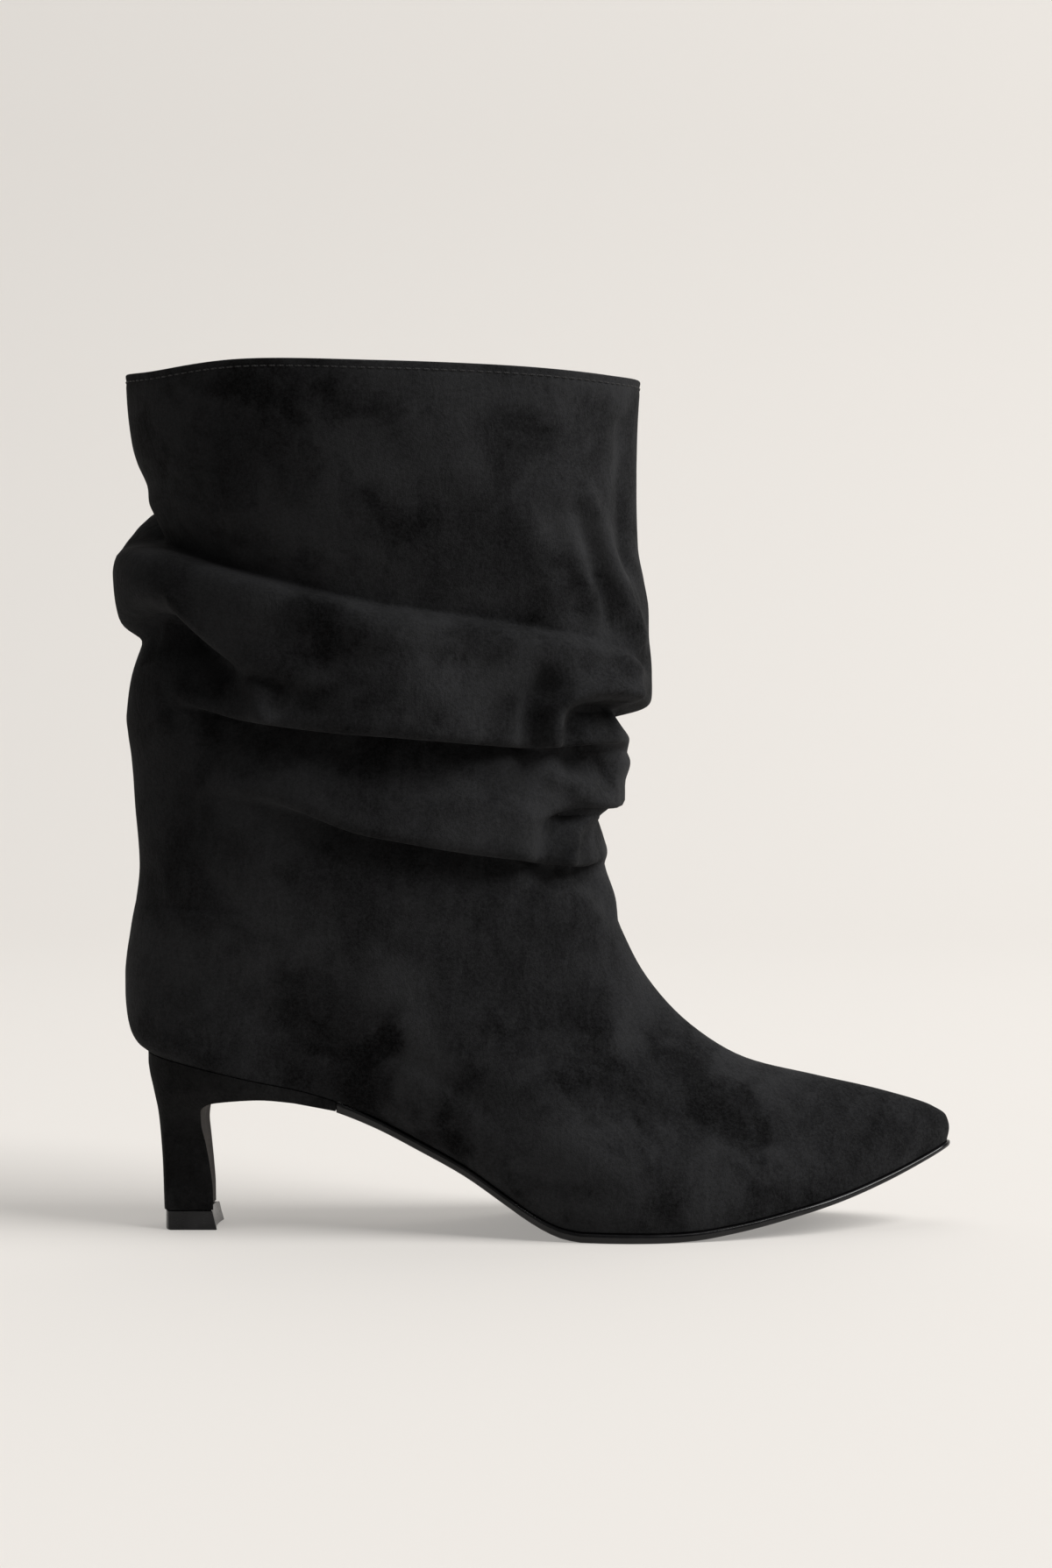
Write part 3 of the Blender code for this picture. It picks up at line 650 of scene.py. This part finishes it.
def bump(tree, height, strength, distance, normal=None):
    node = tree.nodes.new("ShaderNodeBump")
    node.inputs["Strength"].default_value = strength
    node.inputs["Distance"].default_value = distance
    tree.links.new(height, node.inputs["Height"])
    if normal is not None:
        tree.links.new(normal, node.inputs["Normal"])
    return node.outputs["Normal"]


def stretched(tree, coords, scale, turn=(0.0, 0.0, 0.0)):
    node = tree.nodes.new("ShaderNodeMapping")
    node.inputs["Scale"].default_value = scale
    node.inputs["Rotation"].default_value = turn
    tree.links.new(coords, node.inputs["Vector"])
    return node.outputs["Vector"]


def painted_light_gradient(tree, coords):
    """Painted shade over the back of the shaft, painted light down its front and at the toe,
    where the light from the right falls. Returns its factor and the place along the foot."""
    parts = tree.nodes.new("ShaderNodeSeparateXYZ")
    tree.links.new(coords, parts.inputs[0])
    back = ramp(tree, parts.outputs["X"], 0.100, -0.030)
    shaft = ramp(tree, parts.outputs["Z"], 0.085, 0.125)
    front = ramp(tree, parts.outputs["X"], 0.095, 0.140)
    shade = maths(tree, "MULTIPLY", maths(tree, "MULTIPLY", back, shaft), 0.36)
    glow = maths(tree, "MULTIPLY", maths(tree, "MULTIPLY", front, shaft), 0.24)
    toe = ramp(tree, parts.outputs["X"], 0.150, 0.225, 0.0, 0.20)
    front_and_toe_light = maths(tree, "ADD", glow, toe)
    return maths(tree, "ADD", maths(tree, "SUBTRACT", 1.0, shade), front_and_toe_light), parts.outputs["X"]


def suede_material(name, dark, light, patch=42.0):
    mat, tree, shader = new_material(name)
    coords = tree.nodes.new("ShaderNodeTexCoord").outputs["Object"]
    where = noise(tree, coords, 14.0, 2.0, 0.5)
    large = noise(tree, coords, patch, 4.0, 0.58, 0.6)
    slanted = stretched(tree, coords, (1.0, 1.0, 0.5), (0.0, 0.6, 0.0))
    brushed = noise(tree, slanted, 170.0, 5.0, 0.65, 0.8)
    grain = noise(tree, coords, 1000.0, 3.0, 0.65)
    fibre = noise(tree, coords, 2800.0, 2.0, 0.7)
    # Painted shade and painted light by place: darker over the back of the shaft, lighter down its front
    # and at the toe
    painted_light_factor, along = painted_light_gradient(tree, coords)
    mask = ramp(tree, where, 0.40, 0.62, 0.25, 1.0)
    # Dark patches fade out towards the toe, part of the painted light there
    mask = maths(tree, "MULTIPLY", mask, ramp(tree, along, 0.225, 0.170, 0.3, 1.0))
    hollow = maths(tree, "MULTIPLY", ramp(tree, large, 0.56, 0.36), mask)
    patches = maths(tree, "SUBTRACT", 1.0, hollow)
    strokes = ramp(tree, brushed, 0.34, 0.66)
    soft = ramp(tree, noise(tree, coords, 26.0, 3.0, 0.55, 0.5), 0.36, 0.68)
    broad = maths(tree, "MULTIPLY", patches, 0.40)
    broad = maths(tree, "ADD", broad, maths(tree, "MULTIPLY", soft, 0.46))
    broad = maths(tree, "ADD", broad, maths(tree, "MULTIPLY", strokes, 0.14))
    broad = ramp(tree, broad, 0.05, 1.0, 0.0, 0.72)
    nap = maths(tree, "ADD", broad, maths(tree, "MULTIPLY", ramp(tree, grain, 0.3, 0.7), 0.24))
    speck = ramp(tree, fibre, 0.35, 0.7, 0.0, 0.22)
    nap = maths(tree, "SUBTRACT", maths(tree, "ADD", nap, speck), 0.10)
    # The painted shade and light scale the nap's colour and roughness here
    nap = maths(tree, "MULTIPLY", nap, painted_light_factor)
    tree.links.new(blend_colour(tree, nap, dark, light), shader.inputs["Base Color"])
    tree.links.new(ramp(tree, nap, 0.0, 1.0, 0.96, 0.82), shader.inputs["Roughness"])
    shader.inputs["Specular IOR Level"].default_value = 0.06
    shader.inputs["Sheen Weight"].default_value = 0.018
    shader.inputs["Sheen Roughness"].default_value = 0.5
    shader.inputs["Sheen Tint"].default_value = (0.9, 0.9, 0.92, 1.0)
    first = bump(tree, maths(tree, "ADD", strokes, patches), 0.25, 0.0006)
    second = bump(tree, grain, 0.5, 0.0005, first)
    third = bump(tree, fibre, 0.45, 0.00022, second)
    tree.links.new(third, shader.inputs["Normal"])
    return mat


def lining_material(name, dark, light):
    mat, tree, shader = new_material(name)
    coords = tree.nodes.new("ShaderNodeTexCoord").outputs["Object"]
    cells = tree.nodes.new("ShaderNodeTexVoronoi")
    cells.inputs["Scale"].default_value = 1100.0
    tree.links.new(coords, cells.inputs["Vector"])
    cloud = noise(tree, coords, 60.0, 3.0)
    colour = blend_colour(tree, ramp(tree, cloud, 0.3, 0.7), dark, light)
    tree.links.new(colour, shader.inputs["Base Color"])
    tree.links.new(ramp(tree, cloud, 0.3, 0.7, 0.5, 0.64), shader.inputs["Roughness"])
    first = bump(tree, cells.outputs["Distance"], 0.35, 0.00025)
    tree.links.new(bump(tree, cloud, 0.15, 0.0008, first), shader.inputs["Normal"])
    return mat


def gloss_material(name, dark, light, low, high, scratch, shine):
    mat, tree, shader = new_material(name)
    coords = tree.nodes.new("ShaderNodeTexCoord").outputs["Object"]
    cloud = noise(tree, coords, 90.0, 4.0, 0.6)
    scuff = noise(tree, stretched(tree, coords, (1.0, 1.0, 9.0)), 420.0, 3.0, 0.6, 0.4)
    colour = blend_colour(tree, ramp(tree, cloud, 0.35, 0.7), dark, light)
    tree.links.new(colour, shader.inputs["Base Color"])
    worn = maths(tree, "MULTIPLY", ramp(tree, cloud, 0.3, 0.75), ramp(tree, scuff, 0.45, 0.75))
    tree.links.new(ramp(tree, worn, 0.0, 1.0, low, high), shader.inputs["Roughness"])
    shader.inputs["Specular IOR Level"].default_value = shine
    shader.inputs["Coat Weight"].default_value = shine * 0.5
    shader.inputs["Coat Roughness"].default_value = 0.12
    tree.links.new(bump(tree, scuff, scratch, 0.00012), shader.inputs["Normal"])
    return mat


def tread_material(name, dark, light):
    mat, tree, shader = new_material(name)
    coords = tree.nodes.new("ShaderNodeTexCoord").outputs["Object"]
    wave = tree.nodes.new("ShaderNodeTexWave")
    wave.wave_type = "BANDS"
    wave.bands_direction = "DIAGONAL"
    wave.inputs["Scale"].default_value = 140.0
    tree.links.new(coords, wave.inputs["Vector"])
    grit = noise(tree, coords, 1500.0, 3.0, 0.6)
    cloud = noise(tree, coords, 50.0, 3.0)
    colour = blend_colour(tree, ramp(tree, cloud, 0.3, 0.7), dark, light)
    tree.links.new(colour, shader.inputs["Base Color"])
    tree.links.new(ramp(tree, cloud, 0.3, 0.7, 0.42, 0.6), shader.inputs["Roughness"])
    first = bump(tree, wave.outputs["Fac"], 0.4, 0.0004)
    tree.links.new(bump(tree, grit, 0.3, 0.0002, first), shader.inputs["Normal"])
    return mat


def thread_material(name, dark, light):
    mat, tree, shader = new_material(name)
    coords = tree.nodes.new("ShaderNodeTexCoord").outputs["Object"]
    wave = tree.nodes.new("ShaderNodeTexWave")
    wave.wave_type = "BANDS"
    wave.bands_direction = "DIAGONAL"
    wave.inputs["Scale"].default_value = 900.0
    tree.links.new(coords, wave.inputs["Vector"])
    tree.links.new(blend_colour(tree, wave.outputs["Fac"], dark, light), shader.inputs["Base Color"])
    shader.inputs["Roughness"].default_value = 0.6
    shader.inputs["Specular IOR Level"].default_value = 0.15
    shader.inputs["Sheen Weight"].default_value = 0.03
    tree.links.new(bump(tree, wave.outputs["Fac"], 0.5, 0.0002), shader.inputs["Normal"])
    return mat


suede = suede_material(
    "black_suede", (0.0007, 0.0007, 0.00074), (0.0228, 0.0233, 0.0248)
)
heel_suede = suede_material(
    "heel_suede", (0.0022, 0.0022, 0.0023), (0.0150, 0.0150, 0.0154), patch=60.0
)
# The heel's breast is painted paler: a painted sheen on its face
breast_painted_sheen = suede_material(
    "breast_painted_sheen", (0.0450, 0.0410, 0.0395), (0.1150, 0.1050, 0.1010), patch=30.0
)
lining = lining_material(
    "lining_leather", (0.018, 0.016, 0.015), (0.032, 0.029, 0.027)
)
sock = lining_material(
    "sock_leather", (0.022, 0.019, 0.017), (0.040, 0.035, 0.031)
)
edge_gloss = gloss_material(
    "outsole_gloss", (0.004, 0.004, 0.0044), (0.010, 0.010, 0.0108),
    low=0.16, high=0.36, scratch=0.12, shine=0.24,
)
tread = tread_material(
    "outsole_tread", (0.010, 0.010, 0.010), (0.022, 0.022, 0.023)
)
tip_gloss = gloss_material(
    "heel_tip_gloss", (0.006, 0.006, 0.0065), (0.015, 0.015, 0.016),
    low=0.22, high=0.45, scratch=0.2, shine=0.2,
)
thread = thread_material(
    "stitch_thread", (0.010, 0.010, 0.010), (0.034, 0.034, 0.035)
)


# Sole outline


BACK = FOOT_RINGS[0][0] * LENGTH
FRONT_END = FOOT_RINGS[0][2] * LENGTH


def width_at(x):
    """Half width of the sole outline and its centre line at x."""
    s = np.clip((x - BACK) / (FRONT_END - BACK), 0.0, 1.0)
    w = np.sqrt(4.0 * s * (1.0 - s)) * smooth(STATIONS, RING_WIDTHS[0][1:], s) * BALL_HALF
    return w, centre_line(x)


def turned_margin(edge, theta):
    """The margin's inner edge, turned under the foot from the sole edge ring."""
    x = np.interp(
        edge[:, 0],
        [BACK, BACK + MARGIN * 2.3, FRONT_END - MARGIN * 4.2, FRONT_END],
        [BACK + MARGIN, BACK + MARGIN * 2.3, FRONT_END - MARGIN * 4.2, FRONT_END - MARGIN * 1.7],
    )
    w = width_at(edge[:, 0])[0]
    kept = w - MARGIN * (1.0 - np.exp(-w / (MARGIN * 1.26)))
    y = width_at(x)[1] - np.sign(np.sin(theta)) * kept
    return np.stack([x, y, seat(x)], 1)


def closed_shell(theta, grid, offset_out, offset_in, base):
    """Wall between two offsets of the skin, with its margin under the foot.
    base is how far the wall's lower face lies above the seat surface."""
    n = grid_normals(grid)
    thick = offset_in - offset_out
    flat = n[0] * np.array([1.0, 1.0, 0.0])
    flat /= np.linalg.norm(flat, axis=1)[:, None]
    outer = grid - n * offset_out
    inner = grid - n * offset_in
    outer[0] = grid[0] - flat * offset_out
    inner[0] = grid[0] - flat * offset_in
    outer[0][:, 2] = seat(outer[0][:, 0]) + base
    inner[0][:, 2] = seat(inner[0][:, 0]) + base + thick
    for i in range(1, 6):
        low = inner[0][:, 2] + i * 0.12
        inner[i][:, 2] = np.maximum(inner[i][:, 2], low)
        outer[i][:, 2] = np.maximum(outer[i][:, 2], outer[0][:, 2] + i * 0.1)
    low = turned_margin(grid[0], theta)
    low[:, 2] += base
    high = low.copy()
    high[:, 2] += thick
    under_rings = []
    over_rings = []
    for f in (0.0, 0.33, 0.66):
        ring = low + (outer[0] - low) * f
        ring[:, 2] = seat(ring[:, 0]) + base
        under_rings.append(ring)
        ring = high + (inner[0] - high) * f
        ring[:, 2] = seat(ring[:, 0]) + base + thick
        over_rings.append(ring)
    return under_rings, outer, inner, over_rings


def build_suede():
    theta, grid = skin(COLUMNS, 1.0, True)
    under_rings, outer, inner, over_rings = closed_shell(theta, grid, 0.0, SUEDE, 0.0)
    radius = SUEDE / 2.0
    top = outer[-1].copy()
    side = inner[-1] - outer[-1]
    side[:, 2] = 0.0
    side /= np.linalg.norm(side, axis=1)[:, None]
    rim = []
    for k in range(1, 6):
        a = math.pi * k / 6.0
        ring = top + side * radius * (1.0 - math.cos(a))
        ring[:, 2] = top[:, 2] - radius + radius * math.sin(a)
        rim.append(ring)
    outer[-1][:, 2] -= radius
    inner[-1] = outer[-1] + side * SUEDE
    rings = under_rings + list(outer) + rim + list(inner[::-1][::4]) + over_rings[::-1]
    faces = ring_faces(len(rings), len(theta), True)
    obj = add_mesh("upper_suede", np.concatenate(rings), faces, [suede])
    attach(obj, "root")
    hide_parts("upper")


def build_lining():
    theta, grid = skin(LINING_COLUMNS, LINING_FINENESS, True)
    under_rings, outer, inner, over_rings = closed_shell(theta, grid, SUEDE + 0.2, WALL, SUEDE + 0.2)
    drop = 0.5
    outer[-1][:, 2] -= drop
    inner[-1][:, 2] = outer[-1][:, 2]
    rim = (outer[-1] + inner[-1]) / 2.0
    rim[:, 2] += 0.3
    rings = under_rings + list(outer) + [rim] + list(inner[::-1]) + over_rings[::-1]
    faces = ring_faces(len(rings), len(theta), True)
    obj = add_mesh("upper_lining", np.concatenate(rings), faces, [lining])
    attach(obj, "root")


def build_stitches():
    """One row of stitches round the collar, each a short bowed thread."""
    fine = np.linspace(0.0, 2.0 * math.pi, 2001)
    z = rim_height(fine) - STITCH_DROP
    path = shaft_point(fine, z, True)
    steps = np.linalg.norm(np.diff(path, axis=0), axis=1)
    run = np.concatenate([[0.0], np.cumsum(steps)])
    count = int(round(run[-1] / STITCH_PITCH))
    length = STITCH_SHARE * run[-1] / count
    around_count = 8
    along_count = 8
    verts = []
    faces = []
    for i in range(count):
        middle = (i + 0.5) * run[-1] / count
        centres = []
        for j in range(along_count + 1):
            u = j / along_count
            at = middle + (u - 0.5) * length
            p = np.array([np.interp(at, run, path[:, c]) for c in range(3)])
            ahead = np.array([np.interp(at + 0.3, run, path[:, c]) for c in range(3)])
            t = (ahead - p) / np.linalg.norm(ahead - p)
            out = np.cross(t, (0.0, 0.0, 1.0))
            out /= np.linalg.norm(out)
            if np.dot(out, p - np.array([58.0, 0.0, p[2]])) < 0.0:
                out = -out
            bow = math.sin(math.pi * u)
            size = STITCH_RADIUS * (0.35 + 0.65 * bow ** 0.5)
            centres.append((p + out * (0.02 + 0.16 * bow), out, size))
        base = len(verts)
        for p, out, size in centres:
            for k in range(around_count):
                a = 2.0 * math.pi * k / around_count
                verts.append(p + out * math.cos(a) * size + np.array([0.0, 0.0, math.sin(a) * size]))
        faces += ring_faces(along_count + 1, around_count, False, base)
        faces.append(tuple(range(base, base + around_count)))
        last = base + along_count * around_count
        faces.append(tuple(range(last, last + around_count)))
    obj = add_mesh("collar_stitches", verts, faces, [thread])
    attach(obj, "root")


def build_outsole():
    """Thin sole with a rounded gloss edge, from the heel joint to the toe."""
    start = (HEEL_END + GAP - BACK) / (FRONT_END - BACK)
    first = math.acos(1.0 - 2.0 * start)
    angles = np.linspace(first, math.pi, 90)
    s = share(angles)
    x = BACK + s * (FRONT_END - BACK)
    w, mid = width_at(x)
    outer_side = np.stack([x, mid - w], 1)
    inner_side = np.stack([x, mid + w], 1)[:-1][::-1]
    line = np.concatenate([outer_side, inner_side])
    tangent = np.gradient(line, axis=0)
    tangent /= np.linalg.norm(tangent, axis=1)[:, None]
    normal = np.stack([tangent[:, 1], -tangent[:, 0]], 1)
    normal[0, 0] = 0.0
    normal[-1, 0] = 0.0
    profile = (
        # out, share of the thickness below the top
        (-1.2, 0.0),
        (0.25, 0.0),
        (0.62, 0.05),
        (0.84, 0.16),
        (0.92, 0.36),
        (0.90, 0.62),
        (0.80, 0.82),
        (0.55, 0.95),
        (0.2, 1.0),
        (-1.4, 1.0),
    )
    proud = smooth([0.0, 14.0], [0.25, 1.0], line[:, 0] - HEEL_END)
    rings = []
    for out, drop in profile:
        p = line + normal * (out * proud)[:, None]
        top = seat(line[:, 0]) - GAP
        low = np.maximum(under(line[:, 0]), 0.0)
        rings.append(np.column_stack([p, top + (low - top) * drop]))
    n = len(line)
    verts = list(np.concatenate(rings))
    faces = []
    kinds = []
    for i in range(len(profile) - 1):
        for j in range(n - 1):
            a = i * n + j
            faces.append((a, a + 1, a + n + 1, a + n))
            kinds.append(0)
    half = n // 2
    for offset, kind in ((0, 0), ((len(profile) - 1) * n, 1)):
        for j in range(half):
            a = offset + j
            b = offset + n - 1 - j
            if b - 1 > a + 1:
                faces.append((a, a + 1, b - 1, b))
            else:
                faces.append((a, a + 1, b))
            kinds.append(kind)
    ends = [i * n for i in range(len(profile))]
    faces.append(tuple(ends + [e + n - 1 for e in reversed(ends)]))
    kinds.append(0)
    obj = add_mesh("outsole_finished", verts, faces, [edge_gloss, tread], kinds)
    recalc(obj)
    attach(obj, "root")
    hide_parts("outsole")


HEEL_RINGS = (
    # back_x, back_z, front_x, front_z, half, seat share: x of HEEL_END, half of TIP_HALF,
    # z from the top of the heel tip to HEEL_HEIGHT
    (-0.1991, 0.0000, 0.1372, 0.0000, 1.000, 0.00),
    (-0.2035, 0.1266, 0.1350, 0.1266, 1.000, 0.00),
    (-0.2080, 0.2795, 0.1217, 0.2686, 1.038, 0.03),
    (-0.2190, 0.4760, 0.0973, 0.4432, 1.151, 0.10),
    (-0.2345, 0.6507, 0.0752, 0.5830, 1.340, 0.24),
    (-0.2544, 0.7598, 0.0819, 0.6790, 1.557, 0.42),
    (-0.2699, 0.8362, 0.1372, 0.7314, 1.792, 0.60),
    (-0.2832, 0.8908, 0.2699, 0.7576, 1.981, 0.76),
    (-0.2920, 0.9345, 0.4956, 0.7729, 2.123, 0.90),
    (-0.2987, 0.9629, 0.7611, 0.7467, 2.170, 0.98),
    (-0.3053, 0.9825, 1.0000, 0.6943, 2.075, 1.00),
)


def heel_loop(back_x, back_z, front_x, front_z, half, seat_share, top=False, turn=0.0):
    """Outer side from breast to back, inner side back to breast, then across the breast."""
    s = share(np.linspace(0.0, math.pi / 2.0, HEEL_SIDE + 1)) * 2.0
    x = back_x + s * (front_x - back_x)
    corner = 0.14 + 0.58 * seat_share
    curve = np.sqrt(np.clip(1.0 - (1.0 - np.clip(s / corner, 0.0, 1.0)) ** 2, 0.0, 1.0))
    w_seat, mid = width_at(np.maximum(x, BACK))
    w = (1.0 - seat_share) * half * curve + seat_share * (w_seat + COVER_OUT)
    w[0] = 0.0
    mid = mid * seat_share
    z = back_z + s * (front_z - back_z)
    if top:
        z = seat(x) - GAP
    else:
        dip = s * (1.0 - s) * seat_share * 4.0
        z = z - dip * (back_z + 0.5 * (front_z - back_z) - HEEL_HEIGHT * 0.846) * 0.25
    pts = [(x[i] + turn * s[i], mid[i] - w[i], z[i]) for i in range(HEEL_SIDE, -1, -1)]
    pts += [(x[i] - turn * s[i], mid[i] + w[i], z[i]) for i in range(1, HEEL_SIDE + 1)]
    a = np.array(pts[-1])
    b = np.array(pts[0])
    hollow = 0.9 * (1.0 - seat_share)
    for j in range(1, HEEL_FRONT):
        f = j / HEEL_FRONT
        p = a + (b - a) * f
        p[0] -= hollow * math.sin(math.pi * f)
        pts.append(tuple(p))
    return np.array(pts)


def capped_loops(rings):
    n = len(rings[0])
    faces = ring_faces(len(rings), n, False)
    faces.append(tuple(range(n)))
    faces.append(tuple(range((len(rings) - 1) * n, len(rings) * n)))
    return np.concatenate(rings), faces


def build_heel():
    index = np.arange(len(HEEL_RINGS))
    base = TIP_HEIGHT + GAP
    rise = HEEL_HEIGHT - base
    rings = []
    for t in np.linspace(0.0, len(HEEL_RINGS) - 1.0, HEEL_RING_COUNT):
        row = [float(smooth(index, [r[c] for r in HEEL_RINGS], t)) for c in range(6)]
        low = base + row[1] * rise
        high = base + row[3] * rise
        turn = BREAST_TURN * (1.0 - row[5])
        half = row[4] * TIP_HALF
        back_x = row[0] * HEEL_END
        front_x = row[2] * HEEL_END
        rings.append(heel_loop(back_x, low, front_x, high, half, row[5], False, turn))
    rings.append(heel_loop(BACK, 0.0, HEEL_END, 0.0, TIP_HALF, 1.0, True))
    n = len(rings[0])
    verts = np.concatenate(rings)
    faces = ring_faces(len(rings), n, False)
    kinds = []
    for i in range(len(rings) - 1):
        for j in range(n):
            on_breast = j >= 2 * HEEL_SIDE and i < BREAST_RING_COUNT
            kinds.append(1 if on_breast else 0)
    for offset in (0, (len(rings) - 1) * n):
        for i in range(HEEL_SIDE):
            a = offset + i
            b = offset + 2 * HEEL_SIDE - i
            if i == 0:
                across = [offset + 2 * HEEL_SIDE + j for j in range(1, HEEL_FRONT)]
                faces.append(tuple([a, a + 1, b - 1, b] + across))
            elif b - 1 > a + 1:
                faces.append((a, a + 1, b - 1, b))
            else:
                faces.append((a, a + 1, b))
            kinds.append(0)
    # The breast faces take the material with the painted sheen
    obj = add_mesh("heel_cover", verts, faces, [heel_suede, breast_painted_sheen], kinds, 0.5)
    recalc(obj)
    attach(obj, "root")
    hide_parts("heel")


TIP_RINGS = (
    # share of the height, share of the lip, inset of the rounded edge
    (0.00, 1.00, 0.3),
    (0.03, 0.97, 0.0),
    (0.50, 0.46, 0.0),
    (0.97, 0.03, 0.0),
    (1.00, 0.00, 0.2),
)


def build_heel_tip():
    reach_x = TIP_LENGTH / 2.0
    rings = []
    for up, lip, inset in TIP_RINGS:
        z = up * TIP_HEIGHT
        front_x = reach_x + (lip - 1.3) * TIP_LIP - inset
        half = TIP_HALF + (lip - 1.0) * TIP_LIP * 0.2 - inset
        rings.append(heel_loop(inset - reach_x, z, front_x, z, half, 0.0))
    verts, faces = capped_loops(rings)
    obj = add_mesh("heel_top_piece", verts, faces, [tip_gloss], None, 0.35)
    recalc(obj)
    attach(obj, "root")
    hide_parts("heel_tip")


def finish_insole():
    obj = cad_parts["insole"]
    obj.data.materials.clear()
    obj.data.materials.append(sock)


build_suede()
build_lining()
build_stitches()
build_outsole()
build_heel()
build_heel_tip()
finish_insole()


# Studio: pale sweep, soft lights and the photograph's camera


def build_floor():
    depth = 1.6
    radius = 0.9
    wide = 5.0
    profile = [(-2.6, 0.0), (depth, 0.0)]
    for k in range(1, 13):
        a = math.pi / 2.0 * k / 12.0
        profile.append((depth + radius * math.sin(a), radius * (1.0 - math.cos(a))))
    profile.append((depth + radius, 4.0))
    verts = []
    faces = []
    for y, z in profile:
        verts.append((-wide, y, z))
        verts.append((wide, y, z))
    for i in range(len(profile) - 1):
        faces.append((2 * i, 2 * i + 1, 2 * i + 3, 2 * i + 2))
    mesh = bpy.data.meshes.new("studio_floor")
    mesh.from_pydata(verts, [], faces)
    mesh.polygons.foreach_set("use_smooth", [True] * len(mesh.polygons))
    mat, tree, shader = new_material("studio_paper")
    shader.inputs["Base Color"].default_value = (*[c * FLOOR_SHARE for c in FLOOR_COLOUR], 1.0)
    shader.inputs["Emission Color"].default_value = (*FLOOR_COLOUR, 1.0)
    shader.inputs["Emission Strength"].default_value = FLOOR_GLOW
    shader.inputs["Roughness"].default_value = 0.9
    shader.inputs["Specular IOR Level"].default_value = 0.1
    mesh.materials.append(mat)
    obj = bpy.data.objects.new("studio_floor", mesh)
    bpy.context.scene.collection.objects.link(obj)


def area_light(name, place, target, size, power, colour):
    data = bpy.data.lights.new(name, "AREA")
    data.shape = "RECTANGLE"
    data.size = size[0]
    data.size_y = size[1]
    data.energy = power
    data.color = colour
    obj = bpy.data.objects.new(name, data)
    bpy.context.scene.collection.objects.link(obj)
    obj.location = place
    to = np.array(target) - np.array(place)
    yaw = math.atan2(to[1], to[0]) - math.pi / 2.0
    pitch = math.atan2(math.hypot(to[0], to[1]), -to[2])
    obj.rotation_euler = (pitch, 0.0, yaw)


def build_lights():
    area_light("key", (3.7, -1.45, 3.7), LIGHTS_AIM, (3.4, 3.4), 372.0, (1.0, 0.99, 0.978))
    area_light("fill", (-3.0, -3.0, 1.5), LIGHTS_AIM, (2.4, 2.4), 2.5, (0.97, 0.98, 1.0))
    area_light("top", (-0.3, 0.7, 3.8), LIGHTS_AIM, (3.0, 3.0), 34.0, (1.0, 0.99, 0.98))
    world = bpy.data.worlds.new("studio")
    bpy.context.scene.world = world
    world.use_nodes = True
    back = world.node_tree.nodes["Background"]
    back.inputs["Color"].default_value = (0.93, 0.915, 0.89, 1.0)
    back.inputs["Strength"].default_value = 0.13


def build_camera():
    data = bpy.data.cameras.new("camera")
    data.lens = CAMERA_LENS
    data.sensor_width = 36.0
    data.clip_start = 0.05
    data.clip_end = 20.0
    obj = bpy.data.objects.new("camera", data)
    bpy.context.scene.collection.objects.link(obj)
    obj.location = CAMERA_PLACE
    obj.rotation_euler = (math.pi / 2.0, 0.0, 0.0)
    bpy.context.scene.camera = obj


build_floor()
build_lights()
build_camera()
bpy.context.scene.view_settings.view_transform = "Standard"
bpy.context.scene.view_settings.look = "None"
